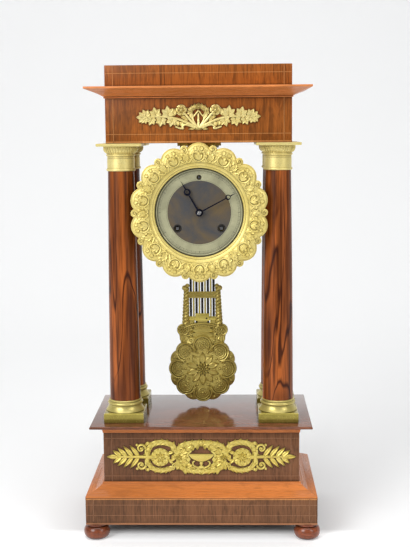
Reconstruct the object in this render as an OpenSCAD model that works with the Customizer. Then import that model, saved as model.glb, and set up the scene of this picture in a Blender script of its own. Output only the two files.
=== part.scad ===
// Portico clock: four wooden columns carry an entablature, and a round striking
// movement hangs below it with a gridiron pendulum swinging behind.
// Millimetres, +Z up, front towards -Y, origin on the surface below the middle.

/* [Base] */
// Width of the lower base block
base_w = 236.6; // [225:0.1:250]
// Depth of the lower base block
base_d = 142.8; // [135:0.1:155]
// Height of the bun feet
foot_h = 16; // [12:0.5:22]
// Widest diameter of a bun foot
foot_d = 27; // [22:0.5:32]
// Distance from the block's edge to a foot's axis
foot_inset = 10; // [8:0.5:20]
// Thickness of the bottom board, whose edge shows as a light strip
board_t = 3; // [2:0.5:6]
// Height of the lower base block
lower_h = 25; // [18:0.5:35]
// Height of the cove between the lower block and the plinth block
cove_h = 12.2; // [8:0.1:18]
// How far the lower block stands out from the plinth block
cove_out = 17.6; // [12:0.1:20]
// Height of the plinth block above the cove
plinth_h = 51.8; // [40:0.1:70]
// Height of the small moulding under the top plate
cap_h = 6.5; // [4:0.1:10]
// Overhang of the small moulding beyond the plinth block
cap_out = 5; // [3:0.1:8]
// Thickness of the polished top plate
plate_t = 2.95; // [2:0.05:5]
// Overhang of the top plate beyond the plinth block
plate_out = 12.8; // [9:0.1:16]
// Wall of the hollow case blocks
wall_t = 9; // [6:0.5:12]

/* [Columns] */
// Distance of the column axes left and right of the middle
column_x = 79.5; // [76:0.5:82]
// Distance of the column axes before and behind the middle
column_y = 31; // [29:0.5:34]
// Side of the square plinth under a column
pad_w = 41; // [36:0.5:44]
// Height of that plinth
pad_h = 10; // [6:0.5:14]
// Height of the turned base above the square plinth
turning_h = 12; // [9:0.5:16]
// Shaft diameter at the bottom
shaft_d_low = 31.5; // [28:0.1:34]
// Shaft diameter at the top
shaft_d_top = 26.6; // [24:0.1:28]
// Length of the shaft
shaft_h = 236; // [210:0.5:260]
// Swelling of the shaft halfway up
entasis = 0.35; // [0:0.05:0.8]
// Height of the capital below its square slab
capital_h = 24.7; // [20:0.1:30]
// Diameter of the capital's plain neck
neck_d = 27.7; // [25:0.1:30]
// Diameter of the capital's widest moulding
echinus_d = 38; // [34:0.1:42]
// Side of the square slab on the capital
abacus_w = 45; // [40:0.5:50]
// Thickness of the square slab
abacus_t = 2.8; // [2:0.1:5]
// Diameter of the iron tie rod through each column
tie_d = 5; // [4:0.5:6]

/* [Entablature] */
// Width of the frieze and attic blocks
frieze_w = 186; // [180:0.5:200]
// Depth of the frieze and attic blocks
frieze_d = 89; // [86:0.5:100]
// Height of the frieze block
frieze_h = 44.5; // [35:0.5:60]
// Height of the cornice
cornice_h = 11.3; // [8:0.1:16]
// Overhang of the cornice
cornice_out = 19; // [12:0.5:20]
// Height of the attic block
attic_h = 21.2; // [14:0.1:35]
// Thickness of the two gilt mounts
mount_t = 2.6; // [1.5:0.1:4]
// Width of the mount on the frieze
frieze_mount_w = 124; // [100:1:150]
// Height of the frieze mount's lower edge above the frieze's lower edge
frieze_mount_rise = 13.5; // [8:0.5:16]
// Width of the mount on the plinth block
base_mount_w = 195; // [190:0.5:200]

/* [Dial] */
// Distance of the dial's middle below the frieze
dial_drop = 69.5; // [69.5:0.5:90]
// Outer radius of the lobed bezel
bezel_r = 69; // [64:0.5:69]
// Number of lobes around the bezel
bezel_lobes = 14; // [10:1:18]
// Thickness of the bezel
bezel_t = 11; // [8:0.5:14]
// Radius of the opening in the bezel
sight_r = 44.7; // [44:0.1:46]
// Outer radius of the silvered chapter ring
chapter_r = 42.2; // [41:0.1:43]
// Radius of the dark dial centre
centre_r = 32.1; // [31:0.1:35]
// Sideways distance of the winding squares
winding_x = 22.2; // [21:0.1:23]
// Distance of the winding squares below the dial's middle
winding_drop = 15.9; // [15:0.1:17]
// Distance of the regulating square above the dial's middle
regulator_rise = 35.3; // [34.5:0.1:37]
// Angle of the minute hand, clockwise from twelve
minute_angle = 62; // [0:1:359]
// Angle of the hour hand, clockwise from twelve
hour_angle = 330; // [0:1:359]
// Length of the minute hand
minute_l = 41; // [36:0.5:41]
// Length of the hour hand
hour_l = 36.5; // [28:0.5:38]

/* [Movement] */
// Outer radius of the brass drum
drum_r = 47; // [46.5:0.1:50]
// Wall of the drum
drum_wall = 1; // [0.8:0.1:1.5]
// Distance of the bezel's back plane before the middle of the case
drum_front = 46; // [46:0.5:48]
// Distance of the drum's back edge behind the middle of the case
drum_back = 17; // [15:0.5:20]
// Thickness of the movement plates
plate_brass_t = 2; // [1.5:0.1:3]
// Space between the movement plates
plate_gap = 45; // [45:0.5:47]
// Distance from the bezel's back plane to the front movement plate
dial_space = 11; // [11:0.1:11.5]
// Radial clearance of every pivot in its hole
pivot_gap = 0.05; // [0.02:0.01:0.1]
// Outer radius of the bell
bell_r = 25; // [20:0.5:25]

/* [Pendulum] */
// Distance of the pendulum's plane behind the middle of the case
pendulum_y = 28; // [27:0.5:32]
// Radius of the scalloped bob
bob_r = 37.3; // [32:0.1:38]
// Thickness of the bob's lens
bob_t = 10; // [7:0.5:12]
// Clearance between the bob and the top plate
bob_gap = 2.65; // [1.5:0.05:8]
// Number of scallops around the bob
bob_lobes = 16; // [10:1:24]
// Spacing of the gridiron rods
rod_pitch = 3.1; // [2.8:0.1:3.3]
// Diameter of a gridiron rod
rod_d = 1.9; // [1.5:0.1:2.4]
// Length of the gridiron rods
rod_l = 112; // [95:0.5:118]

/* [Hidden] */
$fn = 96;
BIG = 400;
GOLD = "gold";
ROSEWOOD = "sienna";
BRASS = "darkgoldenrod";
STEEL = "slategray";

// Heights of the case, from the surface up
z_board = foot_h;
z_lower = z_board + board_t;
z_cove = z_lower + lower_h;
z_plinth = z_cove + cove_h;
z_cap = z_plinth + plinth_h;
z_plate = z_cap + cap_h;
z_pad = z_plate + plate_t;
z_turning = z_pad + pad_h;
z_shaft = z_turning + turning_h;
z_capital = z_shaft + shaft_h;
z_abacus = z_capital + capital_h;
z_frieze = z_abacus + abacus_t;
z_cornice = z_frieze + frieze_h;
z_attic = z_cornice + cornice_h;

// Half sizes in plan
base_hx = base_w / 2;
base_hy = base_d / 2;
plinth_hx = base_hx - cove_out;
plinth_hy = base_hy - cove_out;
frieze_hx = frieze_w / 2;
frieze_hy = frieze_d / 2;
column_places = [for (sy = [-1, 1], sx = [-1, 1]) [sx * column_x, sy * column_y]];
foot_places = [for (sy = [-1, 1], sx = [-1, 1]) [sx * (base_hx - foot_inset), sy * (base_hy - foot_inset)]];

// Tie rods and their nuts
tie_gap = 0.1;
nut_r = tie_d * 0.85;
nut_room = 1;
nut_h = 5;
tie_end = 3;
tie_low = z_cap - wall_t - nut_h - tie_end;
tie_top = z_frieze + wall_t + nut_h + tie_end;

// Depths of the dial and the movement, along Y
dial_z = z_frieze - dial_drop;
y_bezel = -drum_front;
y_bezel_front = y_bezel - bezel_t;
y_plate_f = y_bezel + dial_space;
y_plate_b = y_plate_f + plate_brass_t + plate_gap;
y_inside_f = y_plate_f + plate_brass_t;
y_back = y_plate_b + plate_brass_t;
dial_t = 1;
dial_plate_t = 1;
y_dial = y_bezel + 1.5;
y_dial_back = y_dial + dial_t;
y_dial_plate_back = y_dial_back + dial_plate_t;
drum_ir = drum_r - drum_wall;

// Wheel train: teeth, modules and places in the dial plane
module_motion = 0.5;
cannon_teeth = 12;
minute_teeth = 36;
minute_pinion_teeth = 10;
hour_teeth = 40;
motion_distance = (cannon_teeth + minute_teeth) / 2 * module_motion;
module_hour = 2 * motion_distance / (minute_pinion_teeth + hour_teeth);
motion_bearing = -60;
module_great = 0.4;
great_teeth = 84;
inter_pinion_teeth = 12;
module_inter = 0.36;
inter_teeth = 80;
centre_pinion_teeth = 10;
module_centre = 0.36;
centre_teeth = 80;
third_pinion_teeth = 8;
module_third = 0.3;
third_teeth = 88;
escape_pinion_teeth = 8;
escape_teeth = 36;
regulator_teeth = 8;
rack_size = 0.4;
escape_r = 8.5;
escape_rise = 18;
anchor_rise = 28.5;

// A gear's pitch radius
function pitch_r(teeth, size) = teeth * size / 2;
// Where two circles about a and b cross, on the left going from a to b
function crossing(a, ra, b, rb) =
    let (d = norm(b - a), e = (b - a) / d, t = (ra * ra - rb * rb + d * d) / (2 * d), h = sqrt(ra * ra - t * t))
    a + t * e + h * [-e[1], e[0]];
// Direction from a to b in degrees
function bearing(a, b) = atan2(b[1] - a[1], b[0] - a[0]);
// Turn of a gear of teeth_b that puts a gap opposite the tooth of a neighbour turned by turn_a
function meshed(turn_a, teeth_a, teeth_b, way) = way + 180 + 180 / teeth_b - (turn_a - way) * teeth_a / teeth_b;
// A place in the dial plane as X and Z
function on_dial(p) = [p[0], dial_z + p[1]];

centre_at = [0, 0];
going_at = [winding_x, -winding_drop];
strike_at = [-winding_x, -winding_drop];
motion_at = motion_distance * [cos(motion_bearing), sin(motion_bearing)];
inter_at = crossing(centre_at, pitch_r(inter_teeth + centre_pinion_teeth, module_inter),
    going_at, pitch_r(great_teeth + inter_pinion_teeth, module_great));
escape_at = [0, escape_rise];
third_at = crossing(centre_at, pitch_r(centre_teeth + third_pinion_teeth, module_centre),
    escape_at, pitch_r(third_teeth + escape_pinion_teeth, module_third));
anchor_at = [0, anchor_rise];
regulator_at = [0, regulator_rise];
hammer_at = [-37, -2];
bell_at = [0, 2];

turn_minute = meshed(0, cannon_teeth, minute_teeth, motion_bearing);
turn_hour = meshed(0, minute_pinion_teeth, hour_teeth, motion_bearing + 180);
turn_inter = meshed(0, centre_pinion_teeth, inter_teeth, bearing(centre_at, inter_at));
turn_great = meshed(0, inter_pinion_teeth, great_teeth, bearing(inter_at, going_at));
turn_third = meshed(0, centre_teeth, third_pinion_teeth, bearing(centre_at, third_at));
turn_escape = meshed(0, third_teeth, escape_pinion_teeth, bearing(third_at, escape_at));

// Layers of the wheels between the plates, counted back from the front plate's inner face
wheel_t = 1.6;
y_escape = y_inside_f + 19;
y_great = y_inside_f + 24;
great_t = 2.4;
y_inter = y_inside_f + 31;
y_centre = y_inside_f + 36;
y_third = y_inside_f + 40;
barrel_r = 15;
barrel_wall = 1.2;
y_barrel = y_inside_f + 3;
arbor_r = 1;
pivot_r = 0.7;
centre_arbor_r = 1.5;
winding_r = 2.4;
square_w = 2.8;
hour_pipe_r = 2.4;
pipe_gap = 0.08;
pillar_r = 2.6;
pillar_circle = 39;
pillar_angles = [40, 140, 250, 290];
front_plate_r = 43;
dial_foot_angles = [90 - 50, 90 + 50, 180];
dial_foot_circle = 40;
dial_foot_r = 1.5;

// Layers of the motion work, counted forward from the front plate
motion_wheel_t = 1.6;
y_cannon = y_plate_f - 3.4;
y_motion_wheel = y_plate_f - 3;
y_hour_wheel = y_plate_f - 5.8;
y_hour_hand = y_dial - 2.6;
hour_hand_t = 0.8;
y_minute_hand = y_dial - 4.8;
minute_hand_t = 0.7;
collet_t = 1;
collet_r = 2.2;
winding_hole_r = 3.7;
regulator_hole_r = 2.4;
dial_bore_r = hour_pipe_r + 0.3;

// Suspension and pendulum
pivot_z = dial_z + anchor_rise;
bob_z = z_pad + bob_gap + bob_r;
yoke_z = bob_z + bob_r;
yoke_h = 11.5;
rod_low = yoke_z + yoke_h;
rod_top = rod_low + rod_l;
rod_r = rod_d / 2;
rod_count = 9;
grid_hx = (rod_count - 1) / 2 * rod_pitch + rod_r;
head_bar_h = 5;
strap_w = 6;
strap_t = 2;
strap_low = rod_top + head_bar_h;
spring_drop = 9;
spring_l = 12;
spring_low = pivot_z - spring_drop;
pin_z = strap_low + 0.21 * (spring_low - strap_low);
spring_t = 0.3;
spring_w = 5;
chops_gap = 0.45;
stem_r = 2;
stem_l = 18;
frame_t = 6;
arm_gap = 5.2;
arm_h = 42;
arm_foot_w = 6;
arm_top_w = 2.6;
knob_r = 2.4;
cross_rise = 30;
cross_h = 7.7;
bridge_rise = 3;
bridge_h = 8.5;
bridge_w = 14;
volute_r = 5.6;
frame_leaf_l = 13;
frame_leaf_w = 3.4;
y_frame = pendulum_y - frame_t / 2;
rack_r = pitch_r(regulator_teeth, rack_size);
y_rack = y_back + 3;
rack_t = 2.5;
y_crutch = y_rack + rack_t + 0.6;
crutch_t = 1.6;
crutch_pin_r = 0.9;
crutch_pin_gap = 0.3;
crutch_end = 1.5;
crutch_l = pivot_z - pin_z + crutch_end;

// Outlines and simple shapes

// Extrudes an X and Z outline from y0 back to y1
module slab(y0, y1) {
    translate([0, y1, 0]) rotate([90, 0, 0]) linear_extrude(y1 - y0) children();
}

// Round bar along Y at an X and Z place
module bar(p, r, y0, y1) {
    translate([p[0], y1, p[1]]) rotate([90, 0, 0]) cylinder(r = r, h = y1 - y0);
}

// Turns a profile of radius and height about Z at x, y
module turned(p, profile) {
    translate([p[0], p[1], 0]) rotate_extrude() polygon(profile);
}

// Turns a profile of radius and depth about the Y axis through an X and Z place, depth counted to the front
module turned_y(p, y, profile) {
    translate([p[0], y, p[1]]) rotate([90, 0, 0]) rotate_extrude() polygon(profile);
}

// Outline made from a half profile of offset and height, mirrored about the middle
function mirrored(half, profile) = concat(
    [for (p = profile) [half + p[0], p[1]]],
    [for (i = [len(profile) - 1:-1:0]) [-half - profile[i][0], profile[i][1]]]);

// Rectangular block whose moulded edge runs round all four sides with mitred corners
module moulded(hx, hy, profile) {
    intersection() {
        rotate([90, 0, 0]) translate([0, 0, -BIG]) linear_extrude(2 * BIG) polygon(mirrored(hx, profile));
        rotate([90, 0, 90]) translate([0, 0, -BIG]) linear_extrude(2 * BIG) polygon(mirrored(hy, profile));
    }
}

module box(hx, hy, z0, z1) {
    translate([-hx, -hy, z0]) cube([2 * hx, 2 * hy, z1 - z0]);
}

// S shaped run of a moulding from one offset and height to another
steps = 10;
function s_run(o0, z0, o1, z1, bend) = [for (i = [0:steps]) let (t = i / steps, s = 0.5 - 0.5 * cos(180 * t))
    [o0 + (o1 - o0) * (t * (1 - bend) + s * bend), z0 + (z1 - z0) * t]];
// Arc of radius and height about a middle, from one angle to another
function arc(c, rx, rz, a0, a1, n) =
    [for (i = [0:n]) let (a = a0 + (a1 - a0) * i / n) c + [rx * cos(a), rz * sin(a)]];

// Holes for the tie rods
module tie_holes(z0, z1) {
    for (p = column_places) translate([p[0], p[1], z0]) cylinder(d = tie_d + 2 * tie_gap, h = z1 - z0);
}

// Room in a block for the nuts and rod ends
module nut_pockets(z0, z1) {
    for (p = column_places) translate([p[0], p[1], z0]) cylinder(r = nut_r + nut_room, h = z1 - z0);
}

// Gear outline: six points a tooth, thinner than its gap so that it runs free
function tooth(n, size, width, add, ded) = let (r = pitch_r(n, size), half = width * size / 2 / r * 180 / PI)
    [[r - ded * size, -half * 1.05], [r + 0.5 * add * size, -half * 0.8], [r + add * size, -half * 0.35],
     [r + add * size, half * 0.35], [r + 0.5 * add * size, half * 0.8], [r - ded * size, half * 1.05]];
function gear_outline(n, turn, points) = [for (i = [0:n - 1], p = points)
    let (a = turn + 360 * i / n + p[1]) p[0] * [cos(a), sin(a)]];

module gear(p, n, size, turn, y0, y1, width, add, ded) {
    slab(y0, y1) translate(on_dial(p)) polygon(gear_outline(n, turn, tooth(n, size, width, add, ded)));
}
module wheel_teeth(p, n, size, turn, y0, y1) gear(p, n, size, turn, y0, y1, 1.35, 1.15, 1.35);
module pinion_teeth(p, n, size, turn, y0, y1) gear(p, n, size, turn, y0, y1, 1.05, 0.75, 1.65);

// Toothed wheel with round crossings cut in its web
module crossed_wheel(p, n, size, turn, y0, y1, hub) {
    r = pitch_r(n, size);
    hole_r = (r - hub) * 0.3;
    difference() {
        wheel_teeth(p, n, size, turn, y0, y1);
        for (i = [0:4]) bar(on_dial(p + (hub + r) / 2 * [cos(72 * i), sin(72 * i)]), hole_r, y0 - 1, y1 + 1);
    }
}

// Arbor with a thin pivot in each plate
module arbor(p, r) {
    bar(on_dial(p), r, y_inside_f + 0.3, y_plate_b - 0.3);
    bar(on_dial(p), pivot_r, y_plate_f, y_back);
}

// Hole in a plate for a pivot
module pivot_hole(p, r, y0) {
    bar(on_dial(p), r + pivot_gap, y0 - 1, y0 + plate_brass_t + 1);
}

// Case

module feet() {
    r = foot_d / 2;
    color("brown") for (p = foot_places) turned(p, concat([[0, 0], [r - 4, 0]],
        arc([r - 5, foot_h * 0.42], 5, foot_h * 0.42, -80, 70, 10),
        [[r - 5, foot_h * 0.85], [r - 2.5, foot_h * 0.88], [r - 2.5, foot_h], [0, foot_h]]));
}

module bottom_board() {
    color("tan") box(base_hx, base_hy, z_board, z_lower);
}

module lower_base() {
    color(ROSEWOOD) difference() {
        box(base_hx, base_hy, z_lower, z_cove);
        box(plinth_hx - wall_t, plinth_hy - wall_t, z_lower - 1, z_cove + 1);
    }
}

module base_cove() {
    lip = 1.5;
    color("peru") difference() {
        moulded(plinth_hx, plinth_hy, concat([[cove_out, z_cove]],
            s_run(cove_out, z_cove + lip, lip, z_plinth - lip, 0.45), [[lip, z_plinth]]));
        box(plinth_hx, plinth_hy, z_cove - 1, z_plinth + 1);
    }
}

module plinth_block() {
    color(ROSEWOOD) difference() {
        box(plinth_hx, plinth_hy, z_cove, z_cap);
        box(plinth_hx - wall_t, plinth_hy - wall_t, z_cove - 1, z_cap - wall_t);
        tie_holes(z_cap - wall_t - 1, z_cap + 1);
        nut_pockets(tie_low - nut_room, z_cap - wall_t);
    }
}

module cap_moulding() {
    fillet = 0.6;
    color("peru") difference() {
        moulded(plinth_hx, plinth_hy, concat([[0, z_cap]],
            [for (i = [0:8]) let (a = 90 * i / 8)
                [fillet + (cap_out - fillet) * (1 - cos(a)), z_cap + cap_h * sin(a)]]));
        tie_holes(z_cap - 1, z_plate + 1);
    }
}

module top_plate() {
    nose = plate_t / 2;
    color("sienna") difference() {
        moulded(plinth_hx + plate_out - nose, plinth_hy + plate_out - nose,
            arc([0, z_plate + nose], nose, nose, -90, 90, 6));
        tie_holes(z_plate - 1, z_pad + 1);
    }
}

// Columns

module column_bases() {
    r = shaft_d_low / 2;
    swell = pad_w / 2 - r - 1;
    color(GOLD) for (p = column_places) difference() {
        union() {
            translate([p[0] - pad_w / 2, p[1] - pad_w / 2, z_pad]) cube([pad_w, pad_w, pad_h]);
            turned(p, concat([[0, z_turning]],
                arc([r + swell / 2, z_turning + turning_h * 0.27], swell / 2, turning_h * 0.27, -90, 90, 10),
                [[r + swell * 0.3, z_turning + turning_h * 0.62],
                 [r + swell * 0.18, z_turning + turning_h * 0.78]],
                arc([r + swell * 0.1, z_turning + turning_h * 0.89], swell * 0.3, turning_h * 0.11, -90, 90, 6),
                [[0, z_shaft]]));
        }
        translate([p[0], p[1], z_pad - 1]) cylinder(d = tie_d + 2 * tie_gap, h = pad_h + turning_h + 2);
    }
}

module column_shaft(i) {
    p = column_places[i];
    rows = 8;
    side = [for (k = [0:rows]) let (t = k / rows)
        [shaft_d_low / 2 * (1 - t) + shaft_d_top / 2 * t + entasis * sin(180 * t), z_shaft + shaft_h * t]];
    bore = tie_d / 2 + tie_gap;
    color("maroon") turned(p, concat([[bore, z_shaft]], side, [[bore, z_capital]]));
}

module capital(i) {
    p = column_places[i];
    n = neck_d / 2;
    e = echinus_d / 2;
    ring_out = 1;
    line_out = 0.35;
    h = capital_h;
    color(GOLD) difference() {
        union() {
            turned(p, concat([[0, z_capital], [n + 0.4, z_capital]],
                arc([n, z_capital + h * 0.05], ring_out, h * 0.05, -60, 90, 5),
                [[n, z_capital + h * 0.5], [n + line_out, z_capital + h * 0.51],
                 [n + line_out, z_capital + h * 0.55], [n, z_capital + h * 0.56], [n, z_capital + h * 0.69]],
                arc([n + line_out, z_capital + h * 0.74], ring_out, h * 0.05, -90, 90, 5),
                arc([n + 0.8, z_abacus], e - n - 0.8, h * 0.2, -80, 0, 6), [[0, z_abacus]]));
            translate([p[0] - abacus_w / 2, p[1] - abacus_w / 2, z_abacus])
                cube([abacus_w, abacus_w, abacus_t]);
        }
        translate([p[0], p[1], z_capital - 1])
            cylinder(d = tie_d + 2 * tie_gap, h = capital_h + abacus_t + 2);
    }
}

module tie_rods() {
    color(STEEL) for (p = column_places) translate([p[0], p[1], tie_low])
        cylinder(d = tie_d, h = tie_top - tie_low);
}

module tie_rod_nuts() {
    color(STEEL) for (p = column_places, z = [z_cap - wall_t - nut_h, z_frieze + wall_t]) difference() {
        translate([p[0], p[1], z]) cylinder(r = nut_r, h = nut_h, $fn = 6);
        translate([p[0], p[1], z - 1]) cylinder(d = tie_d, h = nut_h + 2);
    }
}

// Entablature

screw_r = 1.5;
screw_l = 6;
bracket_hx = 22;
bracket_hy = 14;
bracket_y = -16;
bracket_t = 3;
screw_places = [for (sx = [-1, 1], sy = [-1, 1]) [sx * (bracket_hx - 5), bracket_y + sy * (bracket_hy - 4)]];

module frieze_block() {
    color(ROSEWOOD) difference() {
        box(frieze_hx, frieze_hy, z_frieze, z_cornice);
        box(frieze_hx - wall_t, frieze_hy - wall_t, z_frieze + wall_t, z_cornice + 1);
        tie_holes(z_frieze - 1, z_frieze + wall_t + 1);
        nut_pockets(z_frieze + wall_t, tie_top + nut_room);
        for (p = screw_places) translate([p[0], p[1], z_frieze - 1]) cylinder(r = screw_r, h = screw_l + 1);
    }
}

module cornice() {
    bead = 1.5;
    lip = 2;
    color("peru") moulded(frieze_hx, frieze_hy, concat([[0, z_cornice]],
        arc([0, z_cornice + bead / 2], bead, bead / 2, -90, 90, 5),
        s_run(bead, z_cornice + bead * 1.2, cornice_out, z_attic - lip, 0.8), [[cornice_out, z_attic]]));
}

module attic_block() {
    color(ROSEWOOD) difference() {
        box(frieze_hx, frieze_hy, z_attic, z_attic + attic_h);
        box(frieze_hx - wall_t, frieze_hy - wall_t, z_attic - 1, z_attic + attic_h - wall_t);
    }
}

// Gilt mounts, each one pierced casting

// Pointed leaf outline from a root, with its length, half width and direction
module leaf(p, l, w, a) {
    n = 6;
    half = [for (i = [0:n]) let (t = i / n) [l * t, w * sin(180 * pow(t, 0.8))]];
    translate(p) rotate(a) polygon(concat(half, [for (i = [n - 1:-1:1]) [half[i][0], -half[i][1]]]));
}

// One piece of a mount, as thick as the casting
module cast() linear_extrude(mount_t) children();
module cast_leaf(p, l, w, a) cast() leaf(p, l, w, a);
module cast_disc(p, r) cast() translate(p) circle(r = r);
module cast_ring(p, r, hole) cast() translate(p) difference() {
    circle(r = r);
    circle(r = hole);
}

// Point on a stem between two places that bulges by rise
function on_stem(a, b, rise, t) = let (d = b - a) a + d * t + [-d[1], d[0]] / norm(d) * rise * sin(180 * t);

module cast_stem(a, b, rise, w) {
    n = 8;
    side = [a[1] - b[1], b[0] - a[0]] / norm(b - a) * w / 2;
    cast() polygon(concat([for (i = [0:n]) on_stem(a, b, rise, i / n) + side],
        [for (i = [n:-1:0]) on_stem(a, b, rise, i / n) - side]));
}

// Half of the frieze mount, growing to +X from the middle of its lower edge
module frieze_spray() {
    l = frieze_mount_w / 2;
    root = [0, 2.5];
    tip = [l * 0.9, 12];
    bend = 1.5;
    rose = [l * 0.27, 19];
    ribbon = [l * 0.27, 3.4];
    // Place along the stem and length of each leaf
    upper = [[0.36, 13], [0.47, 13], [0.58, 11], [0.69, 10], [0.8, 8]];
    lower = [[0.4, 9], [0.52, 8.5], [0.64, 8], [0.76, 7], [0.88, 6]];
    cast_stem(root, tip, bend, 3);
    for (q = upper) cast_leaf(on_stem(root, tip, bend, q[0]), q[1], q[1] * 0.3, 62);
    for (q = lower) cast_leaf(on_stem(root, tip, bend, q[0]), q[1], q[1] * 0.34, -38);
    cast_leaf(tip - [2, 0], l - tip[0] + 2, 2.6, 0);
    cast_stem(root, rose, 2, 2);
    cast_disc(rose, 5);
    cast_disc([l * 0.83, 14], 4.4);
    cast_leaf(root, 13, 2.4, -8);
    cast_stem(root, ribbon, -1, 2);
    cast_ring(ribbon, 3.3, 1.3);
}

module frieze_mount() {
    color(GOLD) translate([0, -frieze_hy, z_frieze + frieze_mount_rise]) rotate([90, 0, 0]) union() {
        frieze_spray();
        mirror([1, 0, 0]) frieze_spray();
        cast_ring([0, 17.5], 6.6, 3.8);
        cast_stem([0, 2], [-4.5, 14], -1, 2.4);
        cast_stem([0, 2], [4.5, 14], 1, 2.4);
        cast_leaf([0, 1], 13, 3, 90);
        cast_disc([0, 3.2], 3.2);
    }
}

// Half of the base mount, growing to +X from the middle
module base_scroll() {
    l = base_mount_w / 2;
    rinceau = [l * 0.44, -0.5];
    rinceau_r = 17;
    flower_r = 9.8;
    collar = [3, 31];
    volute = [l * 0.635, 8.6];
    cast_ring(rinceau, rinceau_r, 12);
    cast_disc(rinceau, flower_r);
    cast_stem([rinceau[0] + 6, 0], [l * 0.9, 0], 0.2, 4.2);
    cast() translate([rinceau[0] + 12.5, -collar[1] / 2]) square(collar);
    for (s = [-1, 1]) {
        cast_ring([volute[0], s * volute[1]], 5.7, 2.2);
        for (i = [0:2]) cast_leaf([l * (0.69 + 0.065 * i), 0], 15.5 - 1.6 * i, 2.9, s * (52 - 5 * i));
        cast_leaf([15, s * 9], 16, 3.6, s * 10);
    }
    cast_leaf([l * 0.86, 0], l * 0.14, 2.6, 0);
}

// Cup on a foot inside an oval of leaves, with the two scrolls beside it
module base_mount() {
    oval = [23, 16.6];
    opening = [13.5, 11.4];
    cup = [14, 5];
    rim = 1.2;
    foot_w = 4.6;
    color(GOLD) translate([0, -plinth_hy, z_plinth + plinth_h / 2]) rotate([90, 0, 0]) union() {
        base_scroll();
        mirror([1, 0, 0]) base_scroll();
        cast() difference() {
            polygon(arc([0, 0], oval[0], oval[1], 0, 354, 59));
            polygon(arc([0, 0], opening[0], opening[1], 0, 350, 35));
        }
        cast() polygon(concat(arc([0, rim], cup[0], cup[1], 180, 360, 12),
            [[cup[0], 2 * rim], [-cup[0], 2 * rim]]));
        cast() translate([-foot_w / 2, -12]) square([foot_w, 11]);
        cast() polygon(arc([0, -9], cup[0], 8.8, 180, 360, 14));
        for (a = [35, 62, 90, 118, 145]) cast_leaf([15 * cos(a), 9 * sin(a)], 9.5, 3.4, a);
    }
}

// Dial and hands

module bezel() {
    band_r = bezel_r * 0.755;
    lobe_r = bezel_r * 0.167;
    lobe_at = bezel_r - lobe_r;
    ridge_r = bezel_r * 0.86;
    step = 360 / bezel_lobes;
    color(GOLD) union() {
        turned_y(on_dial(centre_at), y_bezel, concat([[sight_r, 0], [sight_r, bezel_t * 0.4],
            [sight_r + 1, bezel_t * 0.5], [band_r - 1.2, bezel_t * 0.8], [band_r, bezel_t * 0.72]],
            arc([ridge_r, 0], ridge_r - band_r, bezel_t, 150, 60, 8), [[ridge_r + 4.5, 0]]));
        for (i = [0:bezel_lobes - 1]) {
            lobe = lobe_at * [sin(step * i), cos(step * i)];
            translate([lobe[0], y_bezel, dial_z + lobe[1]]) rotate([90, 0, 0])
                cylinder(r1 = lobe_r, r2 = lobe_r * 0.55, h = bezel_t * 0.86);
            curl = (bezel_r - lobe_r * 0.3) * [sin(step * (i + 0.5)), cos(step * (i + 0.5))];
            bar(on_dial(curl), lobe_r * 0.29, y_bezel - bezel_t * 0.6, y_bezel);
        }
    }
}

module sight_ring() {
    color("khaki") turned_y(on_dial(centre_at), y_dial, [[chapter_r, 0], [sight_r, 0],
        [sight_r, 2.2], [chapter_r + 1, 2], [chapter_r, 0.8]]);
}

// Holes through the dial for the hour pipe and the three squares
module dial_holes() {
    bar(on_dial(centre_at), dial_bore_r, y_dial - 2, y_plate_f);
    for (p = [going_at, strike_at]) bar(on_dial(p), winding_hole_r, y_dial - 2, y_plate_f);
    bar(on_dial(regulator_at), regulator_hole_r, y_dial - 2, y_plate_f);
}

module chapter_ring() {
    color("silver") difference() {
        bar(on_dial(centre_at), chapter_r, y_dial, y_dial_back);
        bar(on_dial(centre_at), centre_r, y_dial - 1, y_dial_back + 1);
        dial_holes();
    }
}

module dial_centre() {
    color("dimgray") difference() {
        bar(on_dial(centre_at), centre_r, y_dial + 0.2, y_dial_back);
        dial_holes();
    }
}

module dial_plate() {
    color(BRASS) union() {
        difference() {
            bar(on_dial(centre_at), drum_ir, y_dial_back, y_dial_plate_back);
            dial_holes();
        }
        for (a = dial_foot_angles) bar(on_dial(dial_foot_circle * [cos(a), sin(a)]), dial_foot_r,
            y_dial_plate_back, y_plate_f);
    }
}

// Slender hand with an open moon near its tip, pointing to twelve before it is turned
module moon_hand(l, moon_at, moon_r, moon_hole, root_w, boss_r, bore_r) {
    difference() {
        union() {
            polygon([[-root_w / 2, 0], [root_w / 2, 0], [root_w * 0.3, moon_at], [-root_w * 0.3, moon_at]]);
            translate([0, moon_at]) circle(r = moon_r);
            polygon([[-root_w * 0.45, moon_at + moon_r * 0.6], [root_w * 0.45, moon_at + moon_r * 0.6],
                [0.15, l], [-0.15, l]]);
            circle(r = boss_r);
        }
        translate([0, moon_at + moon_r * 0.12]) circle(r = moon_hole);
        circle(r = bore_r);
    }
}

module hour_hand() {
    color("black") slab(y_hour_hand, y_hour_hand + hour_hand_t)
        translate(on_dial(centre_at)) rotate(-hour_angle)
        moon_hand(hour_l, hour_l * 0.65, 3.5, 2, 1.8, hour_pipe_r + 1.4, hour_pipe_r);
}

module minute_hand() {
    color("black") slab(y_minute_hand, y_minute_hand + minute_hand_t)
        translate(on_dial(centre_at)) rotate(-minute_angle)
        moon_hand(minute_l, minute_l * 0.8, 2.7, 1.6, 1.5, 2.9, centre_arbor_r);
}

module hand_collet() {
    color(BRASS) difference() {
        bar(on_dial(centre_at), collet_r, y_minute_hand - collet_t, y_minute_hand);
        bar(on_dial(centre_at), centre_arbor_r, y_minute_hand - collet_t - 1, y_minute_hand + 1);
    }
}

// Movement frame

module drum() {
    color(BRASS) difference() {
        bar(on_dial(centre_at), drum_r, y_bezel, drum_back);
        bar(on_dial(centre_at), drum_ir, y_bezel - 1, drum_back + 1);
    }
}

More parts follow.
